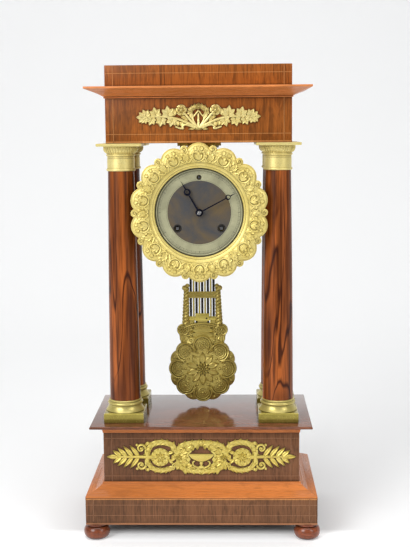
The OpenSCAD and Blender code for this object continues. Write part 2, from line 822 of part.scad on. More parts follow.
module drum_bracket() {
    neck = 12;
    color(BRASS) difference() {
        union() {
            translate([-bracket_hx, bracket_y - bracket_hy, z_frieze - bracket_t])
                cube([2 * bracket_hx, 2 * bracket_hy, bracket_t]);
            translate([-neck, bracket_y - neck, dial_z + drum_r * 0.9])
                cube([2 * neck, 2 * neck, dial_drop - drum_r * 0.9]);
        }
        bar(on_dial(centre_at), drum_r, bracket_y - BIG, bracket_y + BIG);
        for (p = screw_places) translate([p[0], p[1], z_frieze - bracket_t - 1])
            cylinder(r = screw_r, h = bracket_t + 2);
    }
}

module bracket_screws() {
    head = 2;
    color(STEEL) for (p = screw_places) translate([p[0], p[1], z_frieze - bracket_t - head]) {
        cylinder(r = screw_r + 1.2, h = head);
        cylinder(r = screw_r, h = head + bracket_t + screw_l - 0.5);
    }
}

module front_plate() {
    color(BRASS) difference() {
        union() {
            bar(on_dial(centre_at), front_plate_r, y_plate_f, y_inside_f);
            bar(on_dial(motion_at), arbor_r, y_hour_wheel - 0.6, y_plate_f);
        }
        pivot_hole(centre_at, centre_arbor_r, y_plate_f);
        for (p = [going_at, strike_at]) pivot_hole(p, winding_r, y_plate_f);
        for (p = [inter_at, third_at, escape_at, anchor_at, hammer_at]) pivot_hole(p, pivot_r, y_plate_f);
        pivot_hole(regulator_at, arbor_r, y_plate_f);
    }
}

module back_plate() {
    color(BRASS) difference() {
        bar(on_dial(centre_at), drum_ir, y_plate_b, y_back);
        for (p = [centre_at, going_at, strike_at, inter_at, third_at, escape_at])
            pivot_hole(p, pivot_r, y_plate_b);
        for (p = [anchor_at, regulator_at, hammer_at]) pivot_hole(p, arbor_r, y_plate_b);
    }
}

module pillars() {
    color(BRASS) for (a = pillar_angles)
        bar(on_dial(pillar_circle * [cos(a), sin(a)]), pillar_r, y_inside_f, y_plate_b);
}

// Wheels

module centre_wheel() {
    color(BRASS) union() {
        bar(on_dial(centre_at), centre_arbor_r, y_minute_hand - collet_t - 0.8, y_inside_f + 4);
        bar(on_dial(centre_at), arbor_r, y_inside_f + 3, y_plate_b - 0.3);
        bar(on_dial(centre_at), pivot_r, y_plate_b - 1, y_back);
        pinion_teeth(centre_at, cannon_teeth, module_motion, 0, y_cannon, y_plate_f - 0.4);
        pinion_teeth(centre_at, centre_pinion_teeth, module_inter, 0, y_inter - 1, y_inter + wheel_t + 1);
        crossed_wheel(centre_at, centre_teeth, module_centre, 0, y_centre, y_centre + wheel_t, 4);
    }
}

module minute_wheel() {
    color(BRASS) difference() {
        union() {
            crossed_wheel(motion_at, minute_teeth, module_motion, turn_minute,
                y_motion_wheel, y_motion_wheel + motion_wheel_t, 3.2);
            pinion_teeth(motion_at, minute_pinion_teeth, module_hour, 0,
                y_hour_wheel - 0.4, y_motion_wheel + 0.2);
        }
        bar(on_dial(motion_at), arbor_r + pivot_gap, y_hour_wheel - 2, y_plate_f);
    }
}

module hour_wheel() {
    color(BRASS) difference() {
        union() {
            crossed_wheel(centre_at, hour_teeth, module_hour, turn_hour,
                y_hour_wheel, y_hour_wheel + motion_wheel_t, 3.4);
            bar(on_dial(centre_at), hour_pipe_r, y_hour_hand, y_hour_wheel + motion_wheel_t);
        }
        bar(on_dial(centre_at), centre_arbor_r + pipe_gap, y_hour_hand - 1, y_plate_f);
    }
}

module intermediate_wheel() {
    color(BRASS) union() {
        arbor(inter_at, arbor_r);
        pinion_teeth(inter_at, inter_pinion_teeth, module_great, 0, y_great - 1, y_great + great_t + 1);
        crossed_wheel(inter_at, inter_teeth, module_inter, turn_inter, y_inter, y_inter + wheel_t, 3.4);
    }
}

module third_wheel() {
    color(BRASS) union() {
        arbor(third_at, arbor_r * 0.8);
        pinion_teeth(third_at, third_pinion_teeth, module_centre, turn_third,
            y_centre - 1, y_centre + wheel_t + 1);
        crossed_wheel(third_at, third_teeth, module_third, 0, y_third, y_third + wheel_t, 3);
    }
}

module escape_wheel() {
    points = [[escape_r - 1.4, -3.2], [escape_r, 0], [escape_r, 0.6], [escape_r - 1.4, 2.2]];
    color(BRASS) union() {
        arbor(escape_at, arbor_r * 0.7);
        pinion_teeth(escape_at, escape_pinion_teeth, module_third, turn_escape,
            y_third - 1, y_third + wheel_t + 1);
        slab(y_escape, y_escape + wheel_t) translate(on_dial(escape_at))
            polygon(gear_outline(escape_teeth, 0, points));
    }
}

module anchor() {
    arm = [[0, 1.6], [8.2, -2.2], [9, -6], [7.9, -5.2], [7.1, -3.2], [0, -0.9]];
    color(STEEL) union() {
        bar(on_dial(anchor_at), arbor_r * 0.8, y_inside_f + 0.3, y_plate_b - 0.3);
        bar(on_dial(anchor_at), pivot_r, y_plate_f, y_inside_f + 1);
        bar(on_dial(anchor_at), arbor_r, y_plate_b - 1, y_crutch + crutch_t);
        slab(y_escape, y_escape + wheel_t) translate(on_dial(anchor_at)) {
            polygon(arm);
            mirror([1, 0]) polygon(arm);
            circle(r = 1.6);
        }
        slab(y_crutch, y_crutch + crutch_t) translate(on_dial(anchor_at)) {
            circle(r = 2);
            translate([-1.1, -crutch_l]) square([2.2, crutch_l]);
        }
        bar([0, pin_z], crutch_pin_r, y_crutch, pendulum_y + strap_t);
    }
}

// Barrel with its great wheel, hollow for the mainspring
module barrel(p, turn) {
    color(BRASS) difference() {
        union() {
            bar(on_dial(p), barrel_r, y_barrel, y_great);
            wheel_teeth(p, great_teeth, module_great, turn, y_great, y_great + great_t);
        }
        bar(on_dial(p), barrel_r - barrel_wall, y_barrel + barrel_wall, y_great - barrel_wall);
        bar(on_dial(p), winding_r + pivot_gap, y_barrel - 1, y_great + great_t + 1);
    }
}

// Winding arbor with the square that takes the key
module winding_arbor(p) {
    color(STEEL) union() {
        bar(on_dial(p), winding_r, y_plate_f - 1, y_great + great_t + 1);
        bar(on_dial(p), pivot_r, y_great, y_back);
        slab(y_dial - 1.4, y_plate_f) translate(on_dial(p)) square(square_w, center = true);
    }
}

module going_barrel() barrel(going_at, turn_great);
module strike_barrel() barrel(strike_at, 0);
module going_arbor() winding_arbor(going_at);
module strike_arbor() winding_arbor(strike_at);

// Suspension and regulation

rack_pitch = PI * rack_size;
rack_low = -5;
rack_high = 5;
rack_w = 3;

module regulator_arbor() {
    color(STEEL) union() {
        bar(on_dial(regulator_at), arbor_r, y_plate_f, y_rack + rack_t);
        slab(y_dial - 0.6, y_plate_f) translate(on_dial(regulator_at)) square(1.8, center = true);
        pinion_teeth(regulator_at, regulator_teeth, rack_size, 0, y_rack, y_rack + rack_t);
    }
}

// Rack outline beside the regulating pinion, its teeth towards -X
module rack_outline() {
    half = 0.33 * rack_pitch;
    root = rack_r + 0.9 * rack_size;
    tip = rack_r - 0.75 * rack_size;
    one = [[root, -half], [tip, -half * 0.45], [tip, half * 0.45], [root, half]];
    polygon(concat([for (i = [-3:3], q = one) [q[0], (i + 0.5) * rack_pitch + q[1]]],
        [[root, rack_high], [rack_r + rack_w, rack_high], [rack_r + rack_w, rack_low], [root, rack_low]]));
}

module suspension_chops() {
    chops_h = 5;
    low = anchor_rise - regulator_rise;
    y_end = pendulum_y + spring_w / 2 + 1;
    color(BRASS) difference() {
        union() {
            slab(y_rack, y_rack + rack_t) translate(on_dial(regulator_at)) rack_outline();
            slab(y_rack, y_end) translate(on_dial(regulator_at))
                translate([rack_r + 0.3 * rack_w, low + 2]) square([0.7 * rack_w, chops_h - 2]);
            slab(pendulum_y - spring_w / 2 - 1, y_end) translate(on_dial(regulator_at))
                translate([-rack_w, low]) square([rack_r + 2 * rack_w, chops_h]);
        }
        slab(pendulum_y - spring_w / 2 - chops_gap, pendulum_y + spring_w / 2 + chops_gap)
            translate(on_dial(regulator_at)) translate([-spring_t / 2 - chops_gap, low - 1])
            square([spring_t + 2 * chops_gap, chops_h + 2]);
    }
}

module suspension_cock() {
    guide_x = rack_r + rack_w + pivot_gap;
    cock_top = regulator_rise + 9.5;
    y_end = pendulum_y + spring_w / 2 + 1;
    color(BRASS) difference() {
        union() {
            slab(y_back, y_back + 2) translate(on_dial(centre_at)) translate([-8, regulator_rise - 3.5])
                square([16, cock_top - regulator_rise + 3.5]);
            slab(y_back, y_end) translate(on_dial(centre_at)) translate([-8, cock_top - 2.5]) square([16, 2.5]);
            slab(y_back, y_end) translate(on_dial(centre_at)) translate([guide_x, regulator_rise - 3.5])
                square([8 - guide_x, cock_top - regulator_rise + 3.5]);
        }
        bar(on_dial(regulator_at), arbor_r + pivot_gap, y_back - 1, y_back + 3);
    }
}

module suspension_spring() {
    color(STEEL) translate([-spring_t / 2, pendulum_y - spring_w / 2, spring_low])
        cube([spring_t, spring_w, spring_l]);
}

// Strike

bell_gap = 9;
y_bell = pendulum_y + bell_gap;
bell_depth = bell_r * 0.9;
bell_wall = 1.5;
post_at = [31, 2];
post_r = 2.2;
stand_t = 3;
stand_w = 5;
boss_r = 4;
hammer_head_at = [-28, 14];
hammer_head_r = 3.5;
hammer_arm_w = 1.6;
hammer_arm_t = 2;

module bell() {
    depth = bell_depth;
    wall = bell_wall;
    rows = 10;
    outer = [for (i = [0:rows]) let (a = 85 * i / rows) [bell_r * cos(a), depth * sin(a)]];
    inner = [for (i = [rows:-1:0]) let (a = 85 * i / rows) [(bell_r - wall) * cos(a), (depth - wall) * sin(a)]];
    color("goldenrod") translate([bell_at[0], y_bell, dial_z + bell_at[1]]) rotate([-90, 0, 0])
        rotate_extrude() polygon(concat(outer, inner));
}

module bell_stand() {
    y_crown = y_bell + bell_depth;
    crown_r = bell_r * cos(85);
    color(BRASS) union() {
        bar(on_dial(post_at), post_r, y_back, y_crown + stand_t);
        slab(y_crown + 0.01, y_crown + stand_t) translate(on_dial(bell_at)) translate([0, -stand_w / 2])
            square([post_at[0], stand_w]);
        bar(on_dial(bell_at), boss_r, y_crown + 0.01, y_crown + stand_t);
        bar(on_dial(bell_at), crown_r - 0.6, y_crown - stand_t, y_crown + 1);
        bar(on_dial(bell_at), crown_r + 1.2, y_crown - stand_t - 2, y_crown - stand_t + 1);
    }
}

module hammer() {
    y_arm = y_bell + hammer_arm_t;
    d = hammer_head_at - hammer_at;
    color(STEEL) union() {
        bar(on_dial(hammer_at), arbor_r * 0.8, y_inside_f + 0.3, y_plate_b - 0.3);
        bar(on_dial(hammer_at), pivot_r, y_plate_f, y_inside_f + 1);
        bar(on_dial(hammer_at), arbor_r, y_plate_b - 1, y_arm + hammer_arm_t);
        slab(y_arm, y_arm + hammer_arm_t) translate(on_dial(hammer_at)) {
            circle(r = 2.2);
            rotate(bearing([0, 0], d)) translate([0, -hammer_arm_w / 2]) square([norm(d), hammer_arm_w]);
        }
        bar(on_dial(hammer_head_at), hammer_head_r, y_bell, y_arm + 2 * hammer_arm_t);
    }
}

// Pendulum

module pendulum_hook() {
    block_h = 7;
    color(BRASS) difference() {
        union() {
            translate([-2.5, pendulum_y - spring_w / 2 - 1, spring_low - 1]) cube([5, spring_w + 2, block_h]);
            translate([-strap_w / 2, pendulum_y - strap_t / 2, strap_low])
                cube([strap_w, strap_t, spring_low - strap_low]);
            translate([-grid_hx - 1.5, pendulum_y - 2.5, rod_top]) cube([2 * grid_hx + 3, 5, head_bar_h]);
        }
        translate([-spring_t / 2, pendulum_y - spring_w / 2, spring_low])
            cube([spring_t, spring_w, block_h + 1]);
        bar([0, pin_z], crutch_pin_r + crutch_pin_gap, pendulum_y - 4, pendulum_y + 4);
    }
}

module grid_rods(which) {
    for (i = which) translate([(i - (rod_count - 1) / 2) * rod_pitch, pendulum_y, rod_low])
        cylinder(d = rod_d, h = rod_l);
}

module steel_rods() color("dimgray") grid_rods([0:2:rod_count - 1]);
module brass_rods() color(BRASS) grid_rods([1:2:rod_count - 2]);

module pendulum_frame() {
    arm_x = grid_hx + arm_gap;
    arm_top = rod_low + arm_h;
    cross_z = rod_low + cross_rise;
    bridge_z = rod_low + bridge_rise;
    seat = 3;
    y_rods = pendulum_y - rod_r;
    color("olive") difference() {
        union() {
            slab(y_frame, y_frame + frame_t) {
                translate([-arm_x, yoke_z - seat]) square([2 * arm_x, yoke_h + seat]);
                for (s = [-1, 1]) {
                    polygon([[s * (arm_x - arm_foot_w / 2), rod_low - 1],
                        [s * (arm_x + arm_foot_w / 2), rod_low - 1],
                        [s * (arm_x + arm_top_w / 2), arm_top], [s * (arm_x - arm_top_w / 2), arm_top]]);
                    translate([s * arm_x, arm_top]) circle(r = knob_r);
                    translate([s * (arm_x + arm_foot_w / 3), rod_low - 1]) circle(r = volute_r);
                    leaf([s * (arm_x + arm_foot_w / 3), rod_low - 2], frame_leaf_l, frame_leaf_w, 270 + s * 12);
                }
            }
            slab(y_frame, y_rods) {
                translate([-arm_x, cross_z]) square([2 * arm_x, cross_h]);
                translate([-arm_x, bridge_z + 2]) square([2 * arm_x, bridge_h - 5]);
                translate([-bridge_w / 2, bridge_z]) square([bridge_w, bridge_h]);
            }
            translate([0, pendulum_y, yoke_z - stem_l]) cylinder(r = stem_r, h = stem_l);
        }
        difference() {
            bar([0, bob_z], bob_r + 0.1, y_frame - 1, y_frame + frame_t + 1);
            translate([0, pendulum_y, yoke_z - stem_l - 1]) cylinder(r = stem_r, h = stem_l + 2);
        }
    }
}

module bob() {
    lobe_r = bob_r * PI / bob_lobes * 1.15;
    lobe_at = bob_r - lobe_r;
    step = 360 / bob_lobes;
    rosettes = bob_lobes / 2;
    y_face = pendulum_y - bob_t * 0.2;
    color("olive") difference() {
        union() {
            turned_y([0, bob_z], y_face, concat([[0, -bob_t * 0.6], [lobe_at * 0.8, -bob_t * 0.5],
                [lobe_at, -bob_t * 0.3], [lobe_at, 0]], arc([0, 0], lobe_at, bob_t * 0.5, 0, 90, 10)));
            for (i = [0:bob_lobes - 1]) bar([0, bob_z] + lobe_at * [sin(step * i), cos(step * i)], lobe_r,
                y_face - bob_t * 0.12, y_face + bob_t * 0.25);
            for (i = [0:rosettes - 1]) bar([0, bob_z] + bob_r * 0.68 * [sin(2 * step * i), cos(2 * step * i)],
                bob_r * 0.13, y_face - bob_t * 0.48, y_face);
            bar([0, bob_z], bob_r * 0.2, y_face - bob_t * 0.62, y_face);
        }
        translate([0, pendulum_y, yoke_z - stem_l]) cylinder(r = stem_r + pivot_gap, h = stem_l + 1);
    }
}

feet();
bottom_board();
lower_base();
base_cove();
plinth_block();
cap_moulding();
top_plate();
column_bases();
for (i = [0:3]) column_shaft(i);
for (i = [0:3]) capital(i);
tie_rods();
tie_rod_nuts();
frieze_block();
cornice();
attic_block();
frieze_mount();
base_mount();
bezel();
sight_ring();
chapter_ring();
dial_centre();
dial_plate();
hour_hand();
minute_hand();
hand_collet();
drum();
drum_bracket();
bracket_screws();
front_plate();
back_plate();
pillars();
centre_wheel();
minute_wheel();
hour_wheel();
intermediate_wheel();
third_wheel();
escape_wheel();
anchor();
going_barrel();
going_arbor();
strike_barrel();
strike_arbor();
regulator_arbor();
suspension_chops();
suspension_cock();
suspension_spring();
bell();
bell_stand();
hammer();
pendulum_hook();
steel_rods();
brass_rods();
pendulum_frame();
bob();
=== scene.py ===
"""Dresses the portico clock: veneered case, gilt mounts, dial, pendulum and movement around its solids."""

import math

import bmesh
import bpy
from bpy.props import FloatProperty, FloatVectorProperty, IntProperty, PointerProperty
from mathutils import Matrix, Vector


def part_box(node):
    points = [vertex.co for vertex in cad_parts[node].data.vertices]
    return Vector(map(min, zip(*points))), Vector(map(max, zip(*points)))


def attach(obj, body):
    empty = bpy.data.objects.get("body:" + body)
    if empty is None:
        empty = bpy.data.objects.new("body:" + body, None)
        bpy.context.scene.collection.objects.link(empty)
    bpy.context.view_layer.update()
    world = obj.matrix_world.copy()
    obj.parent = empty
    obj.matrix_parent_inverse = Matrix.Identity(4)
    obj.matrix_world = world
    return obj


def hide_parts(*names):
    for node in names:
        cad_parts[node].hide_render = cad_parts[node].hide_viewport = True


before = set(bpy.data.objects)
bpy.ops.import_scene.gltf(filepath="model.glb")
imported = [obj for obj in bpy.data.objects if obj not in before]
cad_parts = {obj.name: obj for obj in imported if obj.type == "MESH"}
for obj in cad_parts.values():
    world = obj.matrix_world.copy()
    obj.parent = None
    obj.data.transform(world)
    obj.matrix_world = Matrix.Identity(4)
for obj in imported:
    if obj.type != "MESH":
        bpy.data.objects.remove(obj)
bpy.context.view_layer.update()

bl_info = {
    "name": "Portico clock",
    "version": (1, 0, 0),
    "blender": (4, 5, 0),
    "location": "View3D > Sidebar > Portico clock",
    "description": "Builds the looks of a veneered portico clock with gilt mounts and a gridiron pendulum",
    "category": "Object",
}

MM = 0.001

# Sides of a turned piece.
SIDES = 72
# Millimetres that relief goes into its ground, and that the ground of both mounts stands before the veneer.
SINK = 0.5
STAND = 0.55
# Heights of the middles of the frieze and plinth mounts, in millimetres.
FRIEZE_MOUNT_AT = 428.5
PLINTH_MOUNT_AT = 82.5
# Where the columns' veneer is cut from its endless figure, in metres.
FIGURE_AT = (0.9, 0.3, 0.55)
# Height of the picture and focal length in pixels, and the camera's sensor in millimetres.
IMAGE_HEIGHT = 547
FOCAL_PIXELS = 1037.24
SENSOR = 36.0


def tint(red, green, blue):
    """A screen colour, each part 0 to 255, as the linear value that a shader takes."""
    parts = [part / 255 for part in (red, green, blue)]
    return tuple(part / 12.92 if part <= 0.04045 else ((part + 0.055) / 1.055) ** 2.4 for part in parts)


def box_mm(node):
    """Lowest and highest corner of a solid, in millimetres."""
    low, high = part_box(node)
    return tuple(low / MM), tuple(high / MM)


def middle_mm(node):
    """Middle of a solid's box, in millimetres."""
    low, high = box_mm(node)
    return tuple((low[i] + high[i]) / 2 for i in range(3))


def dial_middle():
    """Middle of the dial as (x, z), on the axis of the hands."""
    middle = middle_mm("centre_wheel")
    return middle[0], middle[2]


def turn(degrees):
    """Cosine and sine of an angle in degrees."""
    return math.cos(math.radians(degrees)), math.sin(math.radians(degrees))


def spokes(count, start=0.0):
    """Angles in even steps round a circle, in degrees."""
    return [start + 360 * k / count for k in range(count)]


def evenly(count):
    """Even shares from 0 to 1."""
    return [i / count for i in range(count + 1)]


def beside(at, reach, angle):
    """The point at a distance and an angle from another."""
    across, up = turn(angle)
    return at[0] + reach * across, at[1] + reach * up


def arc(middle, wide, high, start, end, steps):
    """Points of an elliptic arc."""
    points = []
    for t in evenly(steps):
        across, up = turn(start + (end - start) * t)
        points.append((middle[0] + wide * across, middle[1] + high * up))
    return points


def corners(low, high, z):
    """The four corners of a level rectangle."""
    return [(low[0], low[1], z), (high[0], low[1], z), (high[0], high[1], z), (low[0], high[1], z)]


def colour_value(title, words, default):
    """A colour that a user may change."""
    return FloatVectorProperty(name=title, description=words, subtype="COLOR", size=3, min=0.0, max=1.0,
                               default=default)


def length_value(title, words, default):
    """A length that a user may change."""
    return FloatProperty(name=title, description=words, unit="LENGTH", min=0.0, precision=5,
                         default=default * MM)


class PorticoSizes(bpy.types.PropertyGroup):
    """Sizes of the ornament that a user may change."""

    edge: length_value("Edge softness", "Rounding of the veneered edges", 0.5)
    line: length_value("Stringing width", "Width of the light inlaid lines", 0.55)
    leaf_rise: length_value("Leaf relief", "Height of the chased leaves", 1.1)
    lobes: IntProperty(name="Bezel lobes", description="Number of lobes around the bezel", default=14, min=6)
    scallops: IntProperty(name="Bob scallops", description="Number of scallops around the bob", default=16,
                          min=6)


class PorticoColours(bpy.types.PropertyGroup):
    """Colours of the finishes that a user may change."""

    rosewood: colour_value("Rosewood", "Middle tone of the entablature veneer", tint(147, 83, 30))
    plinth: colour_value("Plinth veneer", "Middle tone of the darker plinth veneer", tint(116, 77, 50))
    moulding: colour_value("Moulding", "Middle tone of the polished mouldings", tint(198, 119, 62))
    column: colour_value("Column veneer", "Middle tone of the column shafts", tint(136, 72, 30))
    stringing: colour_value("Stringing", "Light inlaid wood", tint(194, 132, 76))
    gilt: colour_value("Gilding", "Matt gilding of bezel, capitals and mounts", tint(232, 214, 136))
    old_gilt: colour_value("Old gilding", "Olive gilding of the pendulum", tint(190, 171, 88))
    silver: colour_value("Silvering", "Worn silvering of the chapter ring", tint(186, 184, 149))
    dial: colour_value("Dial centre", "Dark dial centre", tint(70, 71, 74))


def sizes():
    """The sizes in use."""
    return bpy.context.scene.portico_sizes


def colours():
    """The colours in use."""
    return bpy.context.scene.portico_colours


class Carving:
    """Collects closed skins in millimetres, with a finish number for each face."""

    def __init__(self, place=None, ground=None):
        self.points = []
        self.faces = []
        self.finishes = []
        self.finish = 0
        self.flip = 1
        self.place = place
        self.ground = ground

    def put(self, x, z, out):
        """A point of the relief: right, up and out of the ground."""
        height = self.ground(x, z) if self.ground else 0.0
        return self.place(x * self.flip, z, height + out)

    def face(self, *marks):
        """One face, in the finish that is in use."""
        self.faces.append(marks)
        self.finishes.append(self.finish)

    def skin(self, rows, caps=True):
        """A skin over rows of points, each row a ring."""
        first = len(self.points)
        count = len(rows[0])
        for row in rows:
            self.points.extend(row)
        for i in range(len(rows) - 1):
            low = first + i * count
            for j in range(count):
                k = (j + 1) % count
                self.face(low + j, low + k, low + count + k, low + count + j)
        if caps:
            last = first + (len(rows) - 1) * count
            self.face(*range(first + count - 1, first - 1, -1))
            self.face(*range(last, last + count))

    def block(self, low, high):
        """A plain box inside a larger piece."""
        self.skin([corners(low, high, z) for z in (low[2], high[2])])

    def cut(self, outline, near, far):
        """A flat casting between two depths, from its outline of (x, z)."""
        self.skin([[(x, y, z) for x, z in outline] for y in (near, far)])

    def moulding(self, half_x, half_y, profile, at=(0, 0)):
        """A profile of (out, height) led round a rectangle, with mitred corners."""
        rows = []
        for out, z in profile:
            x = half_x + out
            y = half_y + out
            rows.append(corners((at[0] - x, at[1] - y), (at[0] + x, at[1] + y), z))
        self.skin(rows)

    def turned(self, at, profile, sides=SIDES):
        """A profile of (radius, height) turned about an upright axis."""
        rows = []
        for radius, z in profile:
            rows.append([(*beside(at, radius, angle), z) for angle in spokes(sides)])
        self.skin(rows)

    def faced(self, at, profile, sides=SIDES, closed=False):
        """A profile of (radius, depth), or one for each angle, turned about an axis from front to back."""
        lines = []
        for angle in spokes(sides):
            across, up = turn(angle)
            line = profile(angle) if callable(profile) else profile
            lines.append([(at[0] + radius * across, y, at[1] + radius * up) for radius, y in line])
        rows = list(zip(*lines))
        if closed:
            rows.append(rows[0])
        self.skin(rows, caps=not closed)

    def hoop(self, at, radius, half, near, far):
        """A thin flat ring between two depths."""
        inner, outer = radius - half, radius + half
        self.faced(at, [(inner, far), (inner, near), (outer, near), (outer, far)], 120, True)

    def tube(self, path, radii, sides=8):
        """A round tube along a path of points."""
        rows = []
        normal = None
        for i, point in enumerate(path):
            ahead = Vector(path[min(i + 1, len(path) - 1)])
            behind = Vector(path[max(i - 1, 0)])
            along = (ahead - behind).normalized()
            if normal is None:
                normal = along.orthogonal().normalized()
            normal = (normal - along * normal.dot(along)).normalized()
            other = along.cross(normal)
            row = []
            for angle in spokes(sides):
                across, up = turn(angle)
                row.append(tuple(Vector(point) + (normal * across + other * up) * radii[i]))
            rows.append(row)
        self.skin(rows)

    def across(self, at, way, half, section, lift):
        """A row of relief across a path. Its section gives sides and heights; None lies in the ground."""
        row = []
        for side, part in section:
            out = -SINK if part is None else part * lift
            row.append(self.put(at[0] - way[1] * half * side, at[1] + way[0] * half * side, out))
        return row

    def leaf(self, at, length, width, angle, rise, bend=0.0, groove=0.4):
        """A chased leaf with a hollow midrib, from its foot to its bent tip."""
        section = ((-1, None), (-1, 0.25), (-0.55, 1.0), (0, groove), (0.55, 1.0), (1, 0.25), (1, None))
        steps = 7
        x, z = at
        rows = []
        for t in evenly(steps):
            way = turn(angle + bend * t)
            if t:
                x += length / steps * way[0]
                z += length / steps * way[1]
            half = max(0.03, width / 2 * math.sin(math.pi * (0.1 + 0.9 * t ** 0.85)))
            lift = rise * (0.45 + 0.55 * math.sin(math.pi * (0.1 + 0.75 * t)))
            rows.append(self.across((x, z), way, half, section, lift))
        self.skin(rows)

    def stem(self, path, start, end, rise=1.0, closed=False):
        """A half-round stem along a path, with its half width going from start to end."""
        section = [(1, None), *(turn(angle) for angle in (0, 45, 90, 135, 180)), (-1, None)]
        count = len(path)
        rows = []
        for i, spot in enumerate(path):
            if closed:
                ahead = path[(i + 1) % count]
                behind = path[i - 1]
            else:
                ahead = path[min(i + 1, count - 1)]
                behind = path[max(i - 1, 0)]
            dx = ahead[0] - behind[0]
            dz = ahead[1] - behind[1]
            size = math.hypot(dx, dz) or 1.0
            half = start + (end - start) * i / max(1, count - 1)
            rows.append(self.across(spot, (dx / size, dz / size), half, section, half * rise))
        if closed:
            rows.append(rows[0])
        self.skin(rows, caps=not closed)

    def ring(self, at, radius, half, rise=1.0, steps=40):
        """A half-round ring."""
        self.stem(arc(at, radius, radius, 0, 360 - 360 / steps, steps - 1), half, half, rise, closed=True)

    def dome(self, at, radius, rise, sides=14):
        """A low dome."""
        rows = []
        for share, part in ((1.0, None), (1.0, 0.15), (0.86, 0.55), (0.55, 0.88), (0.02, 1.0)):
            reach = radius * share
            out = -SINK if part is None else part * rise
            rows.append([self.put(*beside(at, reach, angle), out) for angle in spokes(sides)])
        self.skin(rows)

    def domes(self, at, reach, count, radius, rise, sides=8, start=0.0):
        """A ring of low domes."""
        for angle in spokes(count, start):
            self.dome(beside(at, reach, angle), radius, rise, sides)

    def rosette(self, at, radius, petals, rise, start=90.0, heart=0.3):
        """A flower of petals around a round heart."""
        # A petal is a little wider than the space between petals at 0.62 of the radius.
        overlap = 1.15
        width = overlap * 2 * math.pi * radius * 0.62 / petals
        for angle in spokes(petals, start):
            self.leaf(beside(at, radius * 0.18, angle), radius * 0.82, width, angle, rise)
        self.dome(at, radius * heart, rise * 1.25, 12)

    def volute(self, at, radius, turns, start, half, hand=1, rise=1.0):
        """A spiral stem that winds inward to a round eye."""
        steps = int(14 * turns) + 1
        shrink = 0.74
        path = [beside(at, radius * (1 - shrink * t), start + hand * 360 * turns * t) for t in evenly(steps)]
        self.stem(path, half, half * 0.6, rise)
        self.dome(at, radius * 0.3, half * rise * 1.2, 10)

    def plate(self, outline, rise, inset=0.82):
        """A flat casting with a soft edge, from its outline."""
        x = sum(point[0] for point in outline) / len(outline)
        z = sum(point[1] for point in outline) / len(outline)
        rows = []
        for share, out in ((1.0, -SINK), (1.0, rise * 0.55), (inset, rise)):
            rows.append([self.put(x + (right - x) * share, z + (up - z) * share, out)
                         for right, up in outline])
        self.skin(rows)


def curve(points, steps=6):
    """A smooth path through points, by cardinal splines."""
    path = []
    for i in range(len(points) - 1):
        before = points[max(i - 1, 0)]
        here, there = points[i], points[i + 1]
        after = points[min(i + 2, len(points) - 1)]
        for k in range(steps):
            t = k / steps
            spot = []
            for n in range(len(here)):
                pull_a = (there[n] - before[n]) / 2
                pull_b = (after[n] - here[n]) / 2
                spot.append((2 * t ** 3 - 3 * t ** 2 + 1) * here[n] + (t ** 3 - 2 * t ** 2 + t) * pull_a
                            + (3 * t ** 2 - 2 * t ** 3) * there[n] + (t ** 3 - t ** 2) * pull_b)
            path.append(tuple(spot))
    path.append(tuple(points[-1]))
    return path


def make_piece(name, carving, finishes, body, nodes=(), soften=0.0, sharp=38.0):
    """Turns a carving into one object that rides a body and takes its finishes."""
    if not carving.faces:
        raise RuntimeError("nothing was carved for " + name)
    # Metres within which two points are one, and degrees above which an edge is softened.
    weld = 2e-6
    hard = 50.0
    mesh = bpy.data.meshes.new(name)
    mesh.from_pydata([Vector(point) * MM for point in carving.points], [], carving.faces)
    for material in finishes:
        mesh.materials.append(material)
    mesh.polygons.foreach_set("material_index", carving.finishes)
    work = bmesh.new()
    work.from_mesh(mesh)
    bmesh.ops.remove_doubles(work, verts=work.verts, dist=weld)
    bmesh.ops.dissolve_degenerate(work, dist=weld / 2, edges=work.edges)
    bmesh.ops.recalc_face_normals(work, faces=work.faces)
    if soften:
        edges = [edge for edge in work.edges if len(edge.link_faces) == 2
                 and edge.calc_face_angle(0.0) > math.radians(hard)]
        bmesh.ops.bevel(work, geom=edges, offset=soften * MM, segments=2, profile=0.6, affect="EDGES",
                        clamp_overlap=True, material=-1)
    work.to_mesh(mesh)
    work.free()
    mesh.polygons.foreach_set("use_smooth", [True] * len(mesh.polygons))
    mesh.set_sharp_from_angle(angle=math.radians(sharp))
    piece = bpy.data.objects.new(name, mesh)
    bpy.context.scene.collection.objects.link(piece)
    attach(piece, body)
    if nodes:
        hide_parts(*nodes)


